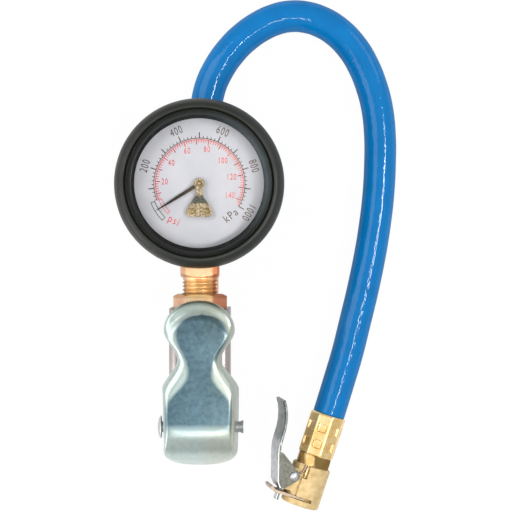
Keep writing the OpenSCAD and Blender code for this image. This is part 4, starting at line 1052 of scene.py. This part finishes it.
def ferrule_form():
    inside = CRIMP_D / 2 + 0.06
    heights = (spaced(0, 0.8, 0.16) + spaced(1.1, FERRULE_H - 1.1, 0.16)
               + spaced(FERRULE_H - 0.8, FERRULE_H, 0.16))
    bore = [(FERRULE_H, inside + 0.35), (FERRULE_H - 0.4, inside), (1.0, inside), (1.0, 3.2),
            (0, 3.2)]
    return bar(ferrule_radius, heights, 256, bore)


def tail_form(spigot_r, spigot_h):
    heights = ([-spigot_h, -0.01] + spaced(0, 0.5, 0.1) + spaced(0.8, TAIL_HEX - 0.8, 0.6)
               + spaced(TAIL_HEX - 0.5, TAIL_HEX, 0.1))
    barb = TAIL_HEX + 14
    bore = [(TAIL_HEX, BARB_R), (barb, BARB_R), (barb, TAIL_BORE), (-spigot_h, TAIL_BORE)]
    return bar(hexagon(TAIL_AF, TAIL_HEX, spigot_r, 0.4, 2.0, 0.4), heights, 144, bore)


NECK_BRASS = finish("neck_brass", (248, 222, 168), (224, 184, 114), 0.8, (0.28, 0.38), 4.0,
                    0.2, 0.006)
# Painted shade: the neck's brass is darkened at its left and right, where the side facets of its
# hexagon turn from the light.
shade_by(NECK_BRASS, 0, [(35, (0.34, 0.28, 0.2)), (38.3, (0.34, 0.28, 0.2)), (39.2, 1), (41.9, 1),
                         (42.4, (0.36, 0.34, 0.26)), (47, (0.33, 0.3, 0.22))])
rear_frame = Matrix.Translation((0, BODY_TOP, PORT_Z))
fitting("ferrule_rear", "hose_ferrule_rear", ferrule_form(), rear_frame, TAIL_HEX, 0,
        PINK_BRASS, 32)
front_ferrule = fitting("ferrule_front", "hose_ferrule_front", ferrule_form(), CHUCK_FRAME,
                        CHUCK_H + TAIL_HEX, -23.5, BRASS, 32)
fitting("hose_tail_back", "hose_tail_rear", tail_form(4.85, 9.0), rear_frame, 0, 30,
        PINK_BRASS, 28)
front_tail = fitting("hose_tail_chuck", "hose_tail_front", tail_form(4.8, CHUCK_H - 11.1),
                     CHUCK_FRAME, CHUCK_H, 16, NECK_BRASS, 28)

# %% [markdown]
# The remaining machined and pressed parts already have their right shape as measured solids,
# but every edge is knife sharp, and no real edge is. A copy of such a part's mesh is merged,
# its flat areas are cleaned, and a small bevel rounds its edges so they catch the light.

# %% Parts with rounded edges
def refined(name, part, material, width, body="handpiece"):
    """A copy of a part's mesh with merged points, clean flats and rounded edges."""
    shape = bmesh.new()
    shape.from_mesh(nodes[part].data)
    bmesh.ops.remove_doubles(shape, verts=shape.verts, dist=2e-6)
    bmesh.ops.dissolve_limit(shape, angle_limit=math.radians(1.0), verts=shape.verts,
                             edges=shape.edges)
    for face in shape.faces:
        face.material_index = 0
    mesh = bpy.data.meshes.new(name)
    mesh.materials.append(material)
    smooth_mesh(mesh, shape, 30)
    obj = put(name, mesh, body, part)
    if width:
        soften(obj, width, 28)
    return obj


refined("valve_housing", "valve_body", PLATED_BODY, 0.35)
refined("pivot_pin", "lever_pin", BRIGHT_STEEL, 0.12, "lever")
refined("gland", "gland_nut", BRASS, 0.15)
refined("spring_plug", "bottom_plug", BRASS, 0.15)
refined("push_rod", "plunger", BRIGHT_STEEL, 0.1, "plunger")

# %% [markdown]
# The valve's spring is pressed flat as the plunger goes in. Here its coil is a copy of its
# part's mesh, on a mesh of its own.

# %% Valve spring
coil = refined("valve_coil", "valve_spring", BRIGHT_STEEL, 0)
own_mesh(coil)

# %% [markdown]
# The chuck has a brass body, a sheet steel finger lever on a rivet, and a clip plate. The
# finger lever is folded. A sharp fold would look like two plates, so the two long folds
# between its back and its cheeks get a true bend radius.

# %% Chuck
FOLD_R = 1.1
FOLD_STEPS = 4
CHEEK_END = -22.5  # above this height the cheeks and folds keep the finger lever's own metal, without painted shade or highlight


def round_folds(obj, frame_at):
    """Rounds the edges between the back of the sheet and its cheeks."""
    turn = frame_at.to_3x3().inverted()
    shape = bmesh.new()
    shape.from_mesh(obj.data)
    folds = []
    for edge in shape.edges:
        if len(edge.link_faces) != 2 or edge.calc_length() < 0.4 * MM:
            continue
        first, second = (turn @ face.normal for face in edge.link_faces)
        if abs(first.z) < abs(second.z):
            first, second = second, first
        if abs(first.z) > 0.9 and second.x < -0.5 and abs(second.z) < 0.3:
            folds.append(edge)
    bmesh.ops.bevel(shape, geom=folds, offset=FOLD_R * MM, offset_type="OFFSET",
                    segments=FOLD_STEPS, profile=0.5, affect="EDGES", clamp_overlap=True)
    shape.normal_update()
    smooth_mesh(obj.data, shape, 30)
    print(obj.name, "folds rounded:", len(folds))


chuck_shell = refined("chuck_barrel", "chuck_body", SATIN_BRASS, 0.12)
# Painted shade: from -22.4 mm up, the finger lever's back is darkened where its wave turns from the
# light.
WAVE_SHADE = (0.42, 0.44, 0.45)
FINGER_METAL = finish("finger_metal", (196, 200, 202), (160, 163, 165), 0.8, (0.3, 0.42), 2.0,
                      0.16, 0.008)
shade_by(FINGER_METAL, 1, [(-26, 1), (-22.4, 1), (-19.5, WAVE_SHADE), (8, WAVE_SHADE)])
# Painted shade: the cheeks get a darker copy of the steel.
CHEEK_SHADE_METAL = finish("cheek_painted_shade", (110, 110, 100), (86, 86, 78), 0.75, (0.34, 0.46), 1.2,
                     0.16, 0.008)
# Painted highlight: the rounded folds get a pale copy of the steel.
FOLD_HIGHLIGHT_METAL = finish("fold_painted_highlight", (238, 240, 240), (222, 224, 224), 0.5, (0.36, 0.44), 2.0,
                    0.1, 0.003)
finger = refined("finger_lever", "chuck_lever", FINGER_METAL, 0, "chuck_lever")
round_folds(finger, CHUCK_FRAME)
soften(finger, 0.14, 40)
finger.data.materials.append(CHEEK_SHADE_METAL)
finger.data.materials.append(FOLD_HIGHLIGHT_METAL)
# Low on the lever, faces that look sideways get the painted shade, and the slanted faces of the
# folds get the painted highlight.
across = CHUCK_FRAME.to_3x3() @ Vector((0, 0, 1))
for face in finger.data.polygons:
    lean = abs(face.normal.dot(across))
    if face.center.y < CHEEK_END * MM and lean > 0.3:
        face.material_index = 1 if lean > 0.92 else 2
rivet = refined("finger_rivet", "chuck_rivet", BRIGHT_STEEL, 0.06)
JAW_PLATE = finish("jaw_plate", (180, 162, 140), (154, 138, 118), 0.6, (0.36, 0.46), 1.5, 0.12)
jaw = refined("clip_jaw", "chuck_jaw", JAW_PLATE, 0.1, "jaw")

# %% [markdown]
# The pointer turns under a stamped brass bridge. The bridge is a bell-shaped strip with softened
# edges, two domed rivets and a jewel ring where the arbor's end shows. Its brass is mottled,
# and the upper bell carries a painted shade: a darker band laid into its colour, while the
# bridge itself stays flat.

# %% Pointer and bridge
refined("dial_hand", "pointer", POINTER_BLACK, 0.05, "pointer")
BRIDGE_BACK = DIAL_FRONT + 1.4
BRIDGE_T = 0.8
BRIDGE_FRONT = BRIDGE_BACK + BRIDGE_T
BRIDGE_CREST = 1.95
BELL_SHADE = (-3.9, -4.8, -7.0, -7.4)  # where the dark share starts, is full, ends, is gone

metal = Nodes("bridge_brass")
where = metal.place()
patches = metal.noise(0.8, where, 4.0, 0.75)
y = metal.axes(where)[1]
pale = metal.ramp(patches, 0.4, 0.6, (198, 180, 146), (104, 86, 58))
dark = metal.ramp(patches, 0.4, 0.6, (96, 96, 84), (50, 48, 40))
into, full, out_of, gone = (GAUGE_Y + drop for drop in BELL_SHADE)
shade = metal.math("MULTIPLY", metal.spread(y, into, full), metal.spread(y, out_of, gone, 1.0, 0.0))
metal.wear(Base_Color=metal.mix(shade, pale, dark), Metallic=0.5, Roughness=0.45,
           Normal=metal.bump(patches, 0.05))

bell = [(0.0, BRIDGE_CREST)] + arc(0, 0, BRIDGE_CREST, BRIDGE_CREST, 84, -42, 21) + [
    (1.22, -2.3), (1.14, -3.0), (1.2, -3.7), (1.45, -4.5), (1.9, -5.4), (2.5, -6.3), (3.15, -7.2),
    (3.75, -8.1), (4.25, -9.0), (4.6, -9.9), (4.7, -10.6), (4.55, -11.3), (4.15, -11.8),
    (3.5, -12.05)]
levels = [[(x, y, z) for x, y in mirrored(bell)] for z in (BRIDGE_BACK, BRIDGE_FRONT)]
bridge = piece("bell_bridge", skin(levels), metal.material, "movement_bridge",
               30, UP_FRAME)
soften(bridge, 0.18, 60)

# %% Rivets and jewel
RIVET_X, RIVET_DROP = 2.65, 9.9
RIVET_FOOT = 31.2
SHANK_R, RIVET_R, COLLAR_R = 0.72, 1.2, 1.38
JEWEL_R, JEWEL_WALL = 0.78, 0.37

RIVET_GOLD = finish("rivet_gold", (176, 156, 110), (120, 102, 66), 0.75, (0.34, 0.44), 0.5)
dome = arc(0, BRIDGE_FRONT + 0.12, RIVET_R, 0.48, 0, 75, 5)
rivet_side = [(0, RIVET_FOOT), (SHANK_R, RIVET_FOOT), (SHANK_R, BRIDGE_BACK - 2.0),
              (COLLAR_R, BRIDGE_BACK - 2.0), (COLLAR_R, BRIDGE_BACK - 0.05),
              (SHANK_R, BRIDGE_BACK - 0.05), (SHANK_R, BRIDGE_FRONT + 0.02),
              (RIVET_R, BRIDGE_FRONT + 0.02)] + dome + [(0, BRIDGE_FRONT + 0.6)]
points, faces = turned(rivet_side, 48)
both = [(x + side * RIVET_X, y - RIVET_DROP, z) for side in (-1, 1) for x, y, z in points]
faces += [tuple(i + len(points) for i in face) for face in faces]
piece("bridge_rivets", (both, faces), RIVET_GOLD, "bridge_screws",
      40, UP_FRAME)

JEWEL_DARK = finish("jewel_dark", (148, 128, 90), (112, 94, 62), 0.6, (0.4, 0.5), 1.0)
jewel_side = [(0.42, BRIDGE_FRONT - 0.02), (1.15, BRIDGE_FRONT - 0.02)]
jewel_side += arc(JEWEL_R, BRIDGE_FRONT, JEWEL_WALL, 0.3, 0, 180, 6)
piece("jewel_ring", turned(jewel_side, 48, closed=True), JEWEL_DARK, None,
      40, UP_FRAME)
print("bridge outline points:", len(levels[0]))

# %% [markdown]
# The stage is a pale table and a soft room that fills the shade. A long narrow lamp over the
# loop gives the hose its streaks, a large soft one from the upper left lights the dial and
# the lever, and three weak ones brighten the metal from the right and from the lower left.

# %% Stage
FLOOR = 2.2
FLOOR_AT = (0.03, 0.04)
FLOOR_GAP = 0.0002
FLOOR_TONE = 0.82
ROOM = 0.55


def seen_white(n, share, gloss):
    """Mixes plain white light into a shader, only where the camera, gloss or glass sees it."""
    path = n.add("ShaderNodeLightPath").outputs
    dim = n.math("MULTIPLY", path["Is Glossy Ray"], gloss)
    seen = n.math("MAXIMUM", n.math("MAXIMUM", path["Is Camera Ray"], dim),
                  path["Is Transmission Ray"])
    glow = n.add("ShaderNodeEmission", (1, 1, 1, 1))
    mix = n.add("ShaderNodeMixShader", n.math("MULTIPLY", seen, share), n.shader, glow)
    n.feed(n.tree.nodes["Material Output"].inputs[0], mix)


bpy.context.scene.view_settings.view_transform = "Standard"
table = bpy.data.meshes.new("table_top")
table.from_pydata([(x * FLOOR, y * FLOOR, 0) for x, y in ((-1, -1), (1, -1), (1, 1), (-1, 1))],
                  [], [(0, 1, 2, 3)])
table_top = add_object("table_top", table)
table_top.location = (*FLOOR_AT, cad_box[0][2] - FLOOR_GAP)
paint = Nodes("pale_table")
paint.wear(Base_Color=(FLOOR_TONE, FLOOR_TONE, FLOOR_TONE, 1), Roughness=0.9)
seen_white(paint, 0.97, 0.6)
table.materials.append(paint.material)

world = bpy.data.worlds.new("room")
bpy.context.scene.world = world
world.use_nodes = True
room = world.node_tree.nodes["Background"]
room.inputs[0].default_value = (1, 1, 1, 1)
room.inputs[1].default_value = ROOM
print("room strength", ROOM)

# %% Lights
MIDDLE = Vector((21, 46, 20)) * MM


def lamp(name, energy, toward, distance, size):
    """An area lamp at a distance in the given direction from the middle of the tool."""
    data = bpy.data.lights.new(name, "AREA")
    data.energy = energy
    data.shape = "RECTANGLE"
    data.size, data.size_y = size
    direction = Vector(toward).normalized()
    obj = add_object(name, data)
    obj.location = MIDDLE + direction * distance
    obj.rotation_euler = (-direction).to_track_quat("-Z", "Y").to_euler()
    return obj


tube = lamp("tube", 6.5, (0.26, -0.16, 0.92), 1.2, (1.05, 0.032))
out = (tube.location - MIDDLE).normalized()
along = Vector((0.52, 0.32, -0.1))
along = (along - out * along.dot(out)).normalized()
tube.rotation_euler = Matrix((along, out.cross(along), out)).transposed().to_euler()
lamp("soft_right", 4.0, (0.56, 0.02, 0.84), 1.2, (0.36, 0.11))
lamp("overhead", 10.0, (-0.95, 0.22, 0.95), 1.35, (1.15, 1.15))
lamp("key_right", 1.5, (0.85, 0.62, 0.5), 1.3, (0.5, 0.5))
lamp("low_left", 6.0, (-0.8, -0.5, 0.38), 1.2, (0.6, 0.6))
